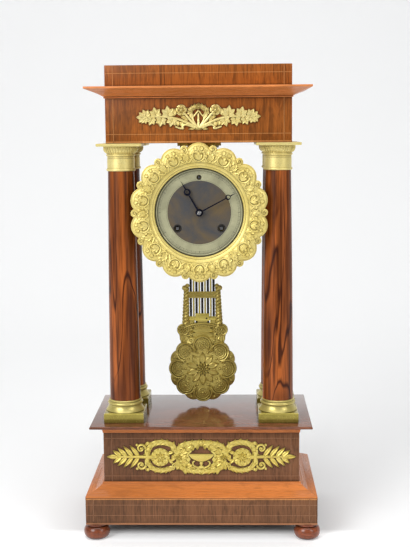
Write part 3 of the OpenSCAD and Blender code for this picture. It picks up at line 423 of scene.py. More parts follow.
class Tree:
    """Makes and joins the nodes of one shader tree."""

    def __init__(self, tree):
        self.tree = tree

    def node(self, kind, **settings):
        """A new node with its settings."""
        made = self.tree.nodes.new(kind)
        for key, value in settings.items():
            setattr(made, key, value)
        return made

    def feed(self, socket, value):
        """Links an output to a socket, or sets a plain value on it."""
        if isinstance(value, bpy.types.NodeSocket):
            self.tree.links.new(value, socket)
        elif hasattr(socket.default_value, "__len__") and len(socket.default_value) == 4 and len(value) == 3:
            socket.default_value = (*value, 1.0)
        else:
            socket.default_value = value

    def math(self, operation, first, second=0.0):
        """The result of one operation on one or two values."""
        made = self.node("ShaderNodeMath", operation=operation)
        self.feed(made.inputs[0], first)
        self.feed(made.inputs[1], second)
        return made.outputs[0]

    def largest(self, first, *others):
        """The largest of some values."""
        for other in others:
            first = self.math("MAXIMUM", first, other)
        return first

    def spot(self):
        """The place on the piece."""
        return self.node("ShaderNodeTexCoord").outputs["Object"]

    def parts(self, vector):
        """The three parts of a vector."""
        made = self.node("ShaderNodeSeparateXYZ")
        self.feed(made.inputs[0], vector)
        return made.outputs

    def join(self, parts, order):
        """A vector from three parts in some order."""
        made = self.node("ShaderNodeCombineXYZ")
        for i, axis in enumerate(order):
            self.feed(made.inputs[i], parts[axis])
        return made.outputs[0]

    def noise(self, vector, scale, detail, rough, bend=0.0):
        """Cloudy noise about 0.5."""
        made = self.node("ShaderNodeTexNoise")
        for key, value in (("Vector", vector), ("Scale", scale), ("Detail", detail), ("Roughness", rough),
                           ("Distortion", bend)):
            self.feed(made.inputs[key], value)
        return made.outputs["Fac"]

    def grain(self, vector, along, scale, detail, rough, bend=0.0):
        """Noise drawn out along the third axis."""
        drawn = self.node("ShaderNodeVectorMath", operation="MULTIPLY")
        self.feed(drawn.inputs[0], vector)
        drawn.inputs[1].default_value = (1, 1, along)
        return self.noise(drawn.outputs[0], scale, detail, rough, bend)

    def span(self, value, low, high, start=0.0, end=1.0):
        """Maps a value from low..high to start..end, kept inside."""
        made = self.node("ShaderNodeMapRange")
        for key, number in (("Value", value), ("From Min", low), ("From Max", high), ("To Min", start),
                            ("To Max", end)):
            self.feed(made.inputs[key], number)
        return made.outputs["Result"]

    def mix(self, share, first, second):
        """A mix of two colours."""
        made = self.node("ShaderNodeMix", data_type="RGBA")
        self.feed(made.inputs["Factor"], share)
        self.feed(made.inputs[6], first)
        self.feed(made.inputs[7], second)
        return made.outputs[2]

    def toward(self, colour, target, value, low, high, most=1.0):
        """A colour mixed toward another as a value goes from low to high."""
        return self.mix(self.span(value, low, high, 0.0, most), colour, target)

    def mix_vector(self, share, first, second):
        """A mix of two vectors."""
        made = self.node("ShaderNodeMix", data_type="VECTOR")
        self.feed(made.inputs["Factor"], share)
        self.feed(made.inputs[4], first)
        self.feed(made.inputs[5], second)
        return made.outputs[1]

    def group(self, name, **values):
        """A shared effect with its own values."""
        made = self.node("ShaderNodeGroup")
        made.node_tree = effect(name)
        for key, value in values.items():
            self.feed(made.inputs[key], value)
        return made.outputs


def effect(name):
    """A shared effect, built once."""
    return bpy.data.node_groups.get(name) or EFFECTS[name](name)


def new_effect(name, **takes):
    """An empty effect with its named inputs, which puts out a colour, a roughness and a height."""
    tree = bpy.data.node_groups.new(name, "ShaderNodeTree")
    kinds = {"colour": "NodeSocketColor", "value": "NodeSocketFloat", "vector": "NodeSocketVector"}
    for title, kind in takes.items():
        tree.interface.new_socket(title, in_out="INPUT", socket_type=kinds[kind])
    for title, kind in (("Color", "colour"), ("Roughness", "value"), ("Height", "value")):
        tree.interface.new_socket(title, in_out="OUTPUT", socket_type=kinds[kind])
    work = Tree(tree)
    return work, work.node("NodeGroupInput").outputs


def end_effect(work, colour, roughness, height):
    """Joins what an effect puts out."""
    gives = work.node("NodeGroupOutput").inputs
    for title, value in (("Color", colour), ("Roughness", roughness), ("Height", height)):
        work.feed(gives[title], value)
    return work.tree


def wood_grain(name):
    """Straight grain along the third axis: tones, flames, streaks, fibres, pores, and painted shade in
    corners and at joints.
    """
    work, takes = new_effect(name, Vector="vector", Light="colour", Middle="colour", Dark="colour",
                             Streaks="value")
    vector, light, dark = takes["Vector"], takes["Light"], takes["Dark"]
    broad = work.grain(vector, 0.3, scale=16, detail=2, rough=0.5, bend=0.6)
    flame = work.grain(vector, 0.35, scale=95, detail=3, rough=0.6, bend=1.4)
    streak = work.grain(vector, 0.025, scale=480, detail=4, rough=0.62, bend=0.4)
    fibre = work.grain(vector, 0.04, scale=1300, detail=3, rough=0.6)
    pore = work.grain(vector, 0.05, scale=1900, detail=2, rough=0.5)
    # Finds where other surfaces come within 3 mm, for the painted shade below.
    near = work.node("ShaderNodeAmbientOcclusion", samples=8)
    near.inputs["Distance"].default_value = 3.0 * MM
    colour = work.toward(takes["Middle"], light, broad, 0.36, 0.64)
    colour = work.toward(colour, dark, broad, 0.5, 0.34, 0.3)
    colour = work.toward(colour, dark, flame, 0.5, 0.64, 0.45)
    colour = work.mix(work.math("MULTIPLY", work.span(streak, 0.5, 0.72), takes["Streaks"]), colour, dark)
    colour = work.toward(colour, dark, fibre, 0.48, 0.68, 0.45)
    colour = work.toward(colour, light, fibre, 0.5, 0.3, 0.3)
    colour = work.toward(colour, dark, pore, 0.56, 0.68, 0.6)
    # Painted shade: in corners, at joints and round the mounts, the veneer turns toward its dark tone.
    colour = work.toward(colour, dark, near.outputs["AO"], 0.97, 0.66, 0.85)
    height = work.math("SUBTRACT", fibre, work.span(pore, 0.6, 0.75, 0.0, 0.6))
    return end_effect(work, colour, work.span(fibre, 0.3, 0.7, -0.05, 0.08), height)


def column_figure(name):
    """Flamed veneer: orange to red-brown bands and thin dark veins that close into flames."""
    work, takes = new_effect(name, Vector="vector", Light="colour", Middle="colour", Vein="colour")
    vector, vein = takes["Vector"], takes["Vein"]
    broad = work.grain(vector, 0.16, scale=40, detail=2, rough=0.45, bend=0.9)
    place = work.grain(vector, 0.25, scale=30, detail=2, rough=0.5)
    tone = work.grain(vector, 0.04, scale=120, detail=3, rough=0.55, bend=0.3)
    fine = work.grain(vector, 0.03, scale=420, detail=4, rough=0.6, bend=0.3)
    fibre = work.grain(vector, 0.03, scale=1500, detail=3, rough=0.6)
    away = work.math("ABSOLUTE", work.math("SUBTRACT", broad, 0.47))
    line = work.math("MULTIPLY", work.span(away, 0.03, 0.006), work.span(place, 0.4, 0.5, 0.3, 1.0))
    colour = work.toward(takes["Middle"], takes["Light"], tone, 0.4, 0.6)
    colour = work.toward(colour, vein, broad, 0.46, 0.6, 0.6)
    colour = work.mix(work.math("MULTIPLY", line, 0.9), colour, vein)
    colour = work.toward(colour, vein, fine, 0.48, 0.64, 0.6)
    colour = work.toward(colour, vein, fibre, 0.52, 0.75, 0.35)
    return end_effect(work, colour, work.span(fibre, 0.3, 0.7, -0.03, 0.05), fibre)


def crevice_dirt(name):
    """Metal with cloudy bright and dull places, and grime and painted shade in its hollows."""
    work, takes = new_effect(name, Metal="colour", Dirt="colour", Bright="colour", Reach="value",
                             Amount="value", Scale="value")
    near = work.node("ShaderNodeAmbientOcclusion", samples=8, only_local=True)
    work.feed(near.inputs["Distance"], takes["Reach"])
    spot = work.spot()
    cloud = work.noise(spot, takes["Scale"], detail=4, rough=0.6, bend=0.4)
    speck = work.noise(spot, work.math("MULTIPLY", takes["Scale"], 14.0), detail=3, rough=0.6)
    # Grime and painted shade: where its own relief closes in within the reach, the metal turns toward the
    # dark colour.
    hollow = work.math("MULTIPLY", work.span(near.outputs["AO"], 0.95, 0.4), takes["Amount"])
    colour = work.toward(takes["Metal"], takes["Bright"], cloud, 0.4, 0.62, 0.35)
    colour = work.toward(colour, takes["Dirt"], speck, 0.5, 0.7, 0.22)
    colour = work.mix(hollow, colour, takes["Dirt"])
    return end_effect(work, colour, work.span(speck, 0.3, 0.7, -0.06, 0.1), speck)


def cloudy(name):
    """A mottled mix of two colours with fine scratches, for worn sheet metal."""
    work, takes = new_effect(name, Vector="vector", First="colour", Second="colour", Scale="value",
                             Scratches="value")
    vector, first, second = takes["Vector"], takes["First"], takes["Second"]
    cloud = work.noise(vector, takes["Scale"], detail=5, rough=0.62, bend=0.7)
    speck = work.noise(vector, work.math("MULTIPLY", takes["Scale"], 16.0), detail=4, rough=0.65)
    scratch = work.grain(vector, 0.06, scale=1400, detail=2, rough=0.5)
    colour = work.toward(first, second, cloud, 0.36, 0.66)
    colour = work.toward(colour, second, speck, 0.5, 0.75, 0.35)
    marks = work.math("MULTIPLY", work.span(scratch, 0.62, 0.72), takes["Scratches"])
    return end_effect(work, work.mix(marks, colour, first), work.span(speck, 0.3, 0.7, -0.08, 0.1), speck)


EFFECTS = {
    "wood_grain": wood_grain,
    "column_figure": column_figure,
    "crevice_dirt": crevice_dirt,
    "cloudy": cloudy,
}


def start_finish(name):
    """A fresh material with its tree and its one shader."""
    material = bpy.data.materials.new(name)
    material.use_nodes = True
    work = Tree(material.node_tree)
    shader = material.node_tree.nodes["Principled BSDF"]
    return material, work, shader


def set_surface(work, shader, gives, rough, bump, distance=0.2 * MM):
    """Feeds an effect into the shader, with its roughness about a middle value and its height as a bump."""
    work.feed(shader.inputs["Base Color"], gives["Color"])
    work.feed(shader.inputs["Roughness"], work.math("ADD", gives["Roughness"], rough))
    raised = work.node("ShaderNodeBump")
    raised.inputs["Strength"].default_value = bump
    raised.inputs["Distance"].default_value = distance
    work.feed(raised.inputs["Height"], gives["Height"])
    work.feed(shader.inputs["Normal"], raised.outputs["Normal"])


def set_polish(shader, specular, coat, coat_rough):
    """Sets how a polished wood shines."""
    shader.inputs["Specular IOR Level"].default_value = specular
    shader.inputs["Coat Weight"].default_value = coat
    shader.inputs["Coat Roughness"].default_value = coat_rough


def shade(colour, factor):
    """A colour made darker or lighter."""
    return tuple(min(1.0, part * factor) for part in colour)


def wood_finish(name, colour, lay="along", rough=0.38, streaks=0.85, coat=0.05, light=1.3, dark=0.3):
    """Polished veneer. Its grain stands upright, lies flat, or runs along each side of the case."""
    material, work, shader = start_finish(name)
    coordinates = work.node("ShaderNodeTexCoord").outputs
    spot = coordinates["Object"]
    parts = work.parts(spot)
    facing = work.parts(coordinates["Normal"])
    vector = work.join(parts, "ZYX")
    if lay == "upright":
        level = work.math("GREATER_THAN", work.math("ABSOLUTE", facing["Z"]), 0.7)
        vector = work.mix_vector(level, spot, vector)
    elif lay == "along":
        ends = work.math("GREATER_THAN", work.math("ABSOLUTE", facing["X"]),
                         work.math("ABSOLUTE", facing["Y"]))
        vector = work.mix_vector(ends, vector, work.join(parts, "ZXY"))
    gives = work.group("wood_grain", Vector=vector, Light=shade(colour, light), Middle=colour,
                       Dark=shade(colour, dark), Streaks=streaks)
    set_surface(work, shader, gives, rough, bump=0.12)
    set_polish(shader, specular=0.22, coat=coat, coat_rough=0.12)
    return material


def column_finish(name, colour, vein):
    """Polished flamed veneer of the column shafts."""
    material, work, shader = start_finish(name)
    sheet = work.node("ShaderNodeVectorMath", operation="ADD")
    work.feed(sheet.inputs[0], work.spot())
    sheet.inputs[1].default_value = FIGURE_AT
    gives = work.group("column_figure", Vector=sheet.outputs[0], Light=shade(colour, 1.7),
                       Middle=shade(colour, 0.58), Vein=vein)
    set_surface(work, shader, gives, rough=0.34, bump=0.05)
    set_polish(shader, specular=0.14, coat=0.13, coat_rough=0.2)
    return material


def gilt_finish(name, colour, dirt, bright, rough, reach, amount, metallic):
    """Gilt bronze with grime and painted shade in its hollows; reach, in millimetres, is how wide a hollow
    may be.
    """
    material, work, shader = start_finish(name)
    gives = work.group("crevice_dirt", Metal=colour, Dirt=dirt, Bright=bright, Reach=reach * MM,
                       Amount=amount, Scale=60.0)
    set_surface(work, shader, gives, rough, bump=0.15, distance=0.3 * MM)
    shader.inputs["Metallic"].default_value = metallic
    return material


def metal_finish(name, first, second, rough, scale=90.0, scratches=0.25, metallic=1.0):
    """Sheet or turned metal with cloudy tarnish and fine scratches."""
    material, work, shader = start_finish(name)
    gives = work.group("cloudy", Vector=work.spot(), First=first, Second=second, Scale=scale,
                       Scratches=scratches)
    set_surface(work, shader, gives, rough, bump=0.08)
    shader.inputs["Metallic"].default_value = metallic
    return material


# Each finish: what makes it, its colours (a user's colour by name, or a screen colour) and its other values.
FINISHES = {
    "rosewood": (wood_finish, ["rosewood"], dict(lay="upright", light=1.4)),
    "plinth_veneer": (wood_finish, ["plinth"], dict(lay="upright", streaks=0.6, light=1.25)),
    "moulding": (wood_finish, ["moulding"], dict(rough=0.28, streaks=0.4, light=1.25, dark=0.6)),
    # Painted light: the cornice is the moulding's wood made lighter, to lift the shade on its slope, which
    # faces down.
    "cornice": (wood_finish, [(216, 134, 76)], dict(rough=0.28, streaks=0.4, light=1.25, dark=0.6)),
    "plate_veneer": (wood_finish, [(112, 66, 44)],
                     dict(lay="flat", rough=0.15, streaks=0.8, coat=0.6, light=1.6)),
    "turned_wood": (wood_finish, [(132, 68, 40)], dict(rough=0.26, streaks=0.6, coat=0.5)),
    "stringing": (wood_finish, ["stringing"], dict(lay="upright", streaks=0.3, light=1.2, dark=0.6)),
    "faded_stringing": (wood_finish, [(146, 103, 74)],
                        dict(lay="upright", streaks=0.3, light=1.15, dark=0.6)),
    "edge_strip": (wood_finish, [(166, 112, 76)], dict(streaks=0.3, light=1.15, dark=0.6)),
    "raw_wood": (wood_finish, [(62, 44, 32)], dict(lay="flat", rough=0.7, streaks=0.5, coat=0.0)),
    "column_veneer": (column_finish, ["column", (44, 12, 3)], {}),
    # A gilt finish's colours: the gilding, the dark colour of grime and painted shade in its hollows, and
    # its bright clouds.
    "gilding": (gilt_finish, ["gilt", (116, 88, 30), (242, 230, 168)],
                dict(rough=0.42, reach=0.6, amount=0.95, metallic=0.45)),
    "bezel_gilding": (gilt_finish, [(226, 206, 118), (104, 78, 24), (240, 226, 152)],
                      dict(rough=0.42, reach=0.8, amount=0.95, metallic=0.45)),
    "mount_gilding": (gilt_finish, [(214, 195, 98), (104, 80, 26), (232, 216, 132)],
                      dict(rough=0.4, reach=0.5, amount=0.9, metallic=0.45)),
    "old_gilding": (gilt_finish, ["old_gilt", (84, 64, 26), (214, 198, 112)],
                    dict(rough=0.34, reach=0.8, amount=0.9, metallic=0.45)),
    "bright_gilding": (gilt_finish, [(206, 188, 92), (120, 98, 40), (226, 210, 122)],
                       dict(rough=0.34, reach=1.0, amount=0.6, metallic=0.6)),
    "base_gilding": (gilt_finish, [(196, 180, 104), (104, 92, 40), (230, 216, 144)],
                     dict(rough=0.32, reach=3.0, amount=0.6, metallic=0.6)),
    "pad_gilding": (gilt_finish, [(152, 138, 62), (84, 66, 26), (186, 170, 88)],
                    dict(rough=0.2, reach=2.0, amount=0.6, metallic=0.7)),
    "silvering": (metal_finish, ["silver", (158, 156, 126)],
                  dict(rough=0.42, scale=40, scratches=0.2, metallic=0.4)),
    "dial_dark": (metal_finish, ["dial", (104, 88, 62)],
                  dict(rough=0.5, scale=34, scratches=0.3, metallic=0.3)),
    "bush_black": (metal_finish, [(22, 20, 18), (44, 38, 32)],
                   dict(rough=0.5, scale=300, scratches=0.0, metallic=0.4)),
    "blued_steel": (metal_finish, [(30, 32, 44), (52, 56, 78)], dict(rough=0.3, scale=400, scratches=0.1)),
    "brass": (metal_finish, [(206, 172, 92), (160, 124, 58)], dict(rough=0.3)),
    "steel": (metal_finish, [(150, 150, 152), (104, 102, 100)], dict(rough=0.32)),
    "rod_steel": (metal_finish, [(62, 60, 60), (40, 36, 34)], dict(rough=0.35, scale=300)),
    "bell_metal": (metal_finish, [(188, 164, 110), (140, 116, 70)], dict(rough=0.28)),
    "engraving": (metal_finish, [(104, 104, 90), (70, 68, 58)],
                  dict(rough=0.6, scale=300, scratches=0.0, metallic=0.0)),
}


def finish(name):
    """A finish of the clock, made once."""
    title = name + "_finish"
    made = bpy.data.materials.get(title)
    if made:
        return made
    maker, tones, values = FINISHES[name]
    tones = [tuple(getattr(colours(), tone)) if isinstance(tone, str) else tint(*tone) for tone in tones]
    return maker(title, *tones, **values)


def dress_nodes(name, *nodes):
    """Gives solids that are shown as they are a finish."""
    for node in nodes:
        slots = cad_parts[node].data.materials
        slots.clear()
        slots.append(finish(name))


def case_block(name, node, wood, string, lines, bands=(0, 0)):
    """A veneered block with inlaid lines on its four faces.

    The lines' distances from the sides, top and bottom come first, then the heights of the light bands that
    edge the block at its bottom and top.
    """
    low, high = box_mm(node)
    work = Carving()
    work.block(low, high)
    make_piece(name, work, [finish(wood)], "case", [node], soften=sizes().edge / MM)
    inlay = Carving()
    # How far the lines stand before the veneer, go into it and stop short of its edges.
    proud = 0.07
    deep = 0.6
    margin = 0.5
    wide = sizes().line / MM / 2
    from_side, from_top, from_bottom = lines
    levels = []
    if from_top:
        levels.append(high[2] - from_top)
    if from_bottom:
        levels.append(low[2] + from_bottom)
    across = [(z - wide, z + wide, 0) for z in levels]
    if bands[0]:
        across.append((low[2] + margin, low[2] + bands[0], 1))
    if bands[1]:
        across.append((high[2] - bands[1], high[2] - margin, 1))
    for axis in (0, 1):
        reach, face = high[axis], high[1 - axis]
        strips = [((-reach + margin, bottom), (reach - margin, top), tone) for bottom, top, tone in across]
        for x in (from_side - reach, reach - from_side):
            strips.append(((x - wide, low[2] + margin), (x + wide, high[2] - margin), 0))
        for side in (-1, 1):
            near, far = sorted((side * (face - deep), side * (face + proud)))
            for (left, bottom), (right, top), inlay.finish in strips:
                if axis == 0:
                    inlay.block((left, near, bottom), (right, far, top))
                else:
                    inlay.block((near, left, bottom), (far, right, top))
    make_piece(name + "_stringing", inlay, [finish(string), finish("stringing")], "case")


class MakeBlocks(bpy.types.Operator):
    """Veneered blocks of the case with their inlaid lines"""

    bl_idname = "portico.blocks"
    bl_label = "Case blocks"

    def execute(self, context):
        case_block("attic_veneer", "attic_block", "rosewood", "stringing", (8.0, 8.0, None))
        case_block("frieze_veneer", "frieze_block", "rosewood", "stringing", (8.0, None, 9.0), (2.0, 0))
        case_block("plinth_veneer", "plinth_block", "plinth_veneer", "faded_stringing", (8.5, 6.0, 18.0))
        case_block("lower_veneer", "lower_base", "plinth_veneer", "faded_stringing", (8.0, 7.0, 7.0),
                   (0, 1.4))
        low, high = box_mm("bottom_board")
        work = Carving()
        strip = 1.8
        work.moulding(high[0], high[1], [(0, low[2]), (0, low[2] + strip), (0, high[2])])
        # Four sides of the light strip, four sides above it, the underside and the top.
        work.finishes = [0] * 4 + [1] * 4 + [2, 1]
        woods = [finish("edge_strip"), finish("plinth_veneer"), finish("raw_wood")]
        make_piece("bottom_board_edge", work, woods, "case", ["bottom_board"],
                   soften=sizes().edge / MM)
        return {"FINISHED"}


def moulded(name, node, wood, half, profile, soften=0.0):
    """A moulding led round the case, in place of a solid."""
    work = Carving()
    work.moulding(half[0], half[1], profile)
    make_piece(name, work, [finish(wood)], "case", [node], soften)


class MakeMouldings(bpy.types.Operator):
    """Cornice, cap moulding, top plate and base cove"""

    bl_idname = "portico.mouldings"
    bl_label = "Mouldings"

    def execute(self, context):
        frieze = box_mm("frieze_block")[1]
        plinth = box_mm("plinth_block")[1]
        self.cornice(frieze)
        low, high = box_mm("cap_moulding")
        step = 0.6
        reach = high[0] - plinth[0] - step
        profile = [(0, low[2])]
        for t in evenly(10):
            across, up = turn(90 * t)
            profile.append((step + reach * (1 - across), low[2] + (high[2] - low[2]) * up))
        moulded("cap_cove", "cap_moulding", "moulding", plinth, profile, 0.2)
        low, high = box_mm("top_plate")
        nose = (high[2] - low[2]) / 2
        profile = arc((0, low[2] + nose), nose, nose, -90, 90, 8)
        moulded("polished_plate", "top_plate", "plate_veneer", (high[0] - nose, high[1] - nose), profile)
        self.cove(plinth)
        return {"FINISHED"}

    def cornice(self, frieze):
        """A bead and a lip with a nearly straight slope between them."""
        low, high = box_mm("cornice")
        reach = high[0] - frieze[0]
        bead = 1.5
        lip = 2.0
        z_run, z_lip = low[2] + bead * 1.2, high[2] - lip
        profile = arc((0, low[2] + bead / 2), bead, bead / 2, -90, 90, 6)
        for t in evenly(12):
            out = bead + (reach - bead) * (0.35 * (1 - math.cos(t * math.pi / 2)) + 0.65 * t)
            profile.append((out, z_run + (z_lip - z_run) * t))
        profile += [(reach, z_lip + 0.3), (reach, high[2])]
        moulded("cornice_moulding", "cornice", "cornice", frieze, profile, 0.35)

    def cove(self, plinth):
        """The slope from the lower base up to the plinth, with a lip at each end."""
        low, high = box_mm("base_cove")
        reach = high[0] - plinth[0]
        lip = 1.5
        under_plinth = -2.0
        profile = [(reach, low[2])]
        for t in evenly(12):
            out = reach + (lip - reach) * (0.45 * math.sin(t * math.pi / 2) + 0.55 * t)
            profile.append((out, low[2] + lip + (high[2] - low[2] - 2 * lip) * t))
        profile += [(lip, high[2]), (under_plinth, high[2])]
        moulded("sloping_cove", "base_cove", "moulding", plinth, profile, 0.4)


class MakeFeet(bpy.types.Operator):
    """Four turned bun feet"""

    bl_idname = "portico.feet"
    bl_label = "Bun feet"

    def execute(self, context):
        low, high = box_mm("feet")
        tall = high[2]
        radius = 13.5
        core = radius - 5
        collar = radius - 2.5
        profile = [(0.01, 0), (core - 0.5, 0)] + arc((core, tall * 0.42), 5, tall * 0.42, -80, 70, 14)
        profile += [(core, tall * 0.84), (collar - 0.1, tall * 0.88), (collar, tall), (0.01, tall)]
        work = Carving()
        for x in (low[0] + radius, high[0] - radius):
            for y in (low[1] + radius, high[1] - radius):
                work.turned((x, y), profile)
        make_piece("bun_feet", work, [finish("turned_wood")], "case", ["feet"])
        return {"FINISHED"}


class MakeColumns(bpy.types.Operator):
    """Veneered shafts and gilt turned bases of the four columns"""

    bl_idname = "portico.columns"
    bl_label = "Columns"

    def execute(self, context):
        # Radii of the shaft at both ends, and how much it swells between them.
        foot = 15.75
        head = 13.3
        swelling = 0.35
        bases = Carving()
        for k in range(1, 5):
            node = "column_shaft_%d" % k
            low, high = box_mm(node)
            at = middle_mm(node)
            profile = [(0.5, low[2])]
            for t in evenly(24):
                radius = foot + (head - foot) * t + swelling * math.sin(math.pi * t)
                profile.append((radius, low[2] + (high[2] - low[2]) * t))
            profile.append((0.5, high[2]))
            work = Carving()
            work.turned(at, profile, 96)
            make_piece("column_veneer_%d" % k, work, [finish("column_veneer")], "case", [node])
            self.base(bases, at, foot, low[2])
        make_piece("column_base_castings", bases, [finish("base_gilding"), finish("pad_gilding")], "case",
                   ["column_bases"])
        return {"FINISHED"}

    def base(self, work, at, foot, top):
        """A square pad, a spreading foot, a round swelling and a fillet under the shaft."""
        pad = 20.5
        low = box_mm("column_bases")[0][2]
        pad_top = low + 10
        tall = top - pad_top
        work.finish = 1
        work.moulding(pad, pad, [(-0.5, low), (0, low + 0.4), (0, pad_top - 0.7), (-0.7, pad_top)], at)
        work.finish = 0
        outline = [(0.5, pad_top)]
        for t in evenly(8):
            outline.append((pad - 0.4 - 3.0 * math.sin(t * math.pi / 2), pad_top + tall * (0.03 + 0.5 * t)))
        outline += arc((foot + 0.6, pad_top + tall * 0.69), 1.9, tall * 0.15, -90, 90, 10)
        outline += [(foot + 0.7, pad_top + tall * 0.86), (foot + 1.1, pad_top + tall * 0.88),
                    (foot + 1.1, pad_top + tall * 0.96), (foot + 0.6, top), (0.5, top)]
        work.turned(at, outline)


class MakeCapitals(bpy.types.Operator):
    """Gilt capitals with a grooved neck and a ribbed bell under a square slab"""

    bl_idname = "portico.capitals"
    bl_label = "Capitals"

    def execute(self, context):
        # Radii of the neck and of the bell's top, and half the width and the height of the slab.
        neck = 13.85
        wide = 17.9
        slab_half = 22.5
        slab = 2.8
        ribs = 36
        # The bell's line: how far it stands out from the neck, and its share of the height below the slab.
        bell = [(0.2, 0.71), (1.4, 0.75), (2.4, 0.8), (3.1, 0.87), (3.4, 0.945)]
        rib_radii = [0.4, 0.65, 0.8, 0.8, 0.6]
        for k in range(1, 5):
            node = "capital_%d" % k
            low, high = box_mm(node)
            at = middle_mm(node)
            base = low[2]
            top = high[2] - slab
            tall = top - base
            profile = [(0.5, base), (neck + 0.4, base)]
            profile += arc((neck, base + tall * 0.05), 1, tall * 0.05, -60, 90, 6)
            for share in (0.5, 0.56):
                z = base + tall * share
                profile += [(neck, z), (neck - 0.3, z + 0.2), (neck - 0.3, z + 0.5), (neck, z + 0.7)]
            profile += [(neck, base + tall * 0.6)]
            profile += arc((neck + 0.2, base + tall * 0.64), 0.9, tall * 0.035, -90, 90, 6)
            profile += [(neck + out, base + tall * share) for out, share in bell]
            profile += [(wide, base + tall * 0.965), (wide, top), (0.5, top)]
            work = Carving()
            work.turned(at, profile)
            edge = [(-0.6, top), (-0.2, top + 0.3), (0, top + 0.8), (0, high[2] - 0.3), (-0.3, high[2])]
            work.moulding(slab_half, slab_half, edge, at)
            for angle in spokes(ribs, 180 / ribs):
                path = [(*beside(at, neck + out, angle), base + tall * share) for out, share in bell]
                work.tube(path, rib_radii, 6)
            make_piece("capital_casting_%d" % k, work, [finish("gilding")], "case", [node])
        return {"FINISHED"}


def relief(origin, ground=None):
    """A carving whose relief faces the front, about a point (x, y, z)."""
    def place(x, z, out):
        return (origin[0] + x, origin[1] - out, origin[2] + z)
    return Carving(place, ground)


def fan(work, at, angles, length, width, rise, bend=0.0):
    """A spray of leaves from one foot."""
    for angle in angles:
        work.leaf(at, length, width, angle, rise, bend)


def acanthus(work, path, half, rise, count):
    """A band of overlapping leaves to both sides of a path."""
    work.stem(path, half * 0.95, half * 0.9, 0.6 / half)
    for i in range(count):
        place = (i + 0.1) / count * (len(path) - 1)
        here = min(int(place), len(path) - 2)
        (x0, z0), (x1, z1) = path[here], path[here + 1]
        heading = math.degrees(math.atan2(z1 - z0, x1 - x0))
        share = place - here
        foot = (x0 + (x1 - x0) * share, z0 + (z1 - z0) * share)
        for side in (-1, 1):
            work.leaf(foot, half * 2.2, half * 0.95, heading + side * 20, rise * 0.8, side * 34)


def ivy(work, at, heading, size, rise):
    """A broad leaf with five points."""
    work.dome(beside(at, size * 0.3, heading), size * 0.42, rise * 0.6)
    for tilt, share in ((-96, 0.8), (-48, 0.98), (0, 1.08), (48, 0.98), (96, 0.8)):
        work.leaf(at, size * share, size * 0.68, heading + tilt, rise, 0.0, 0.7)
    work.stem([at, beside(at, size * 0.8, heading)], 0.4, 0.2, 3.4)


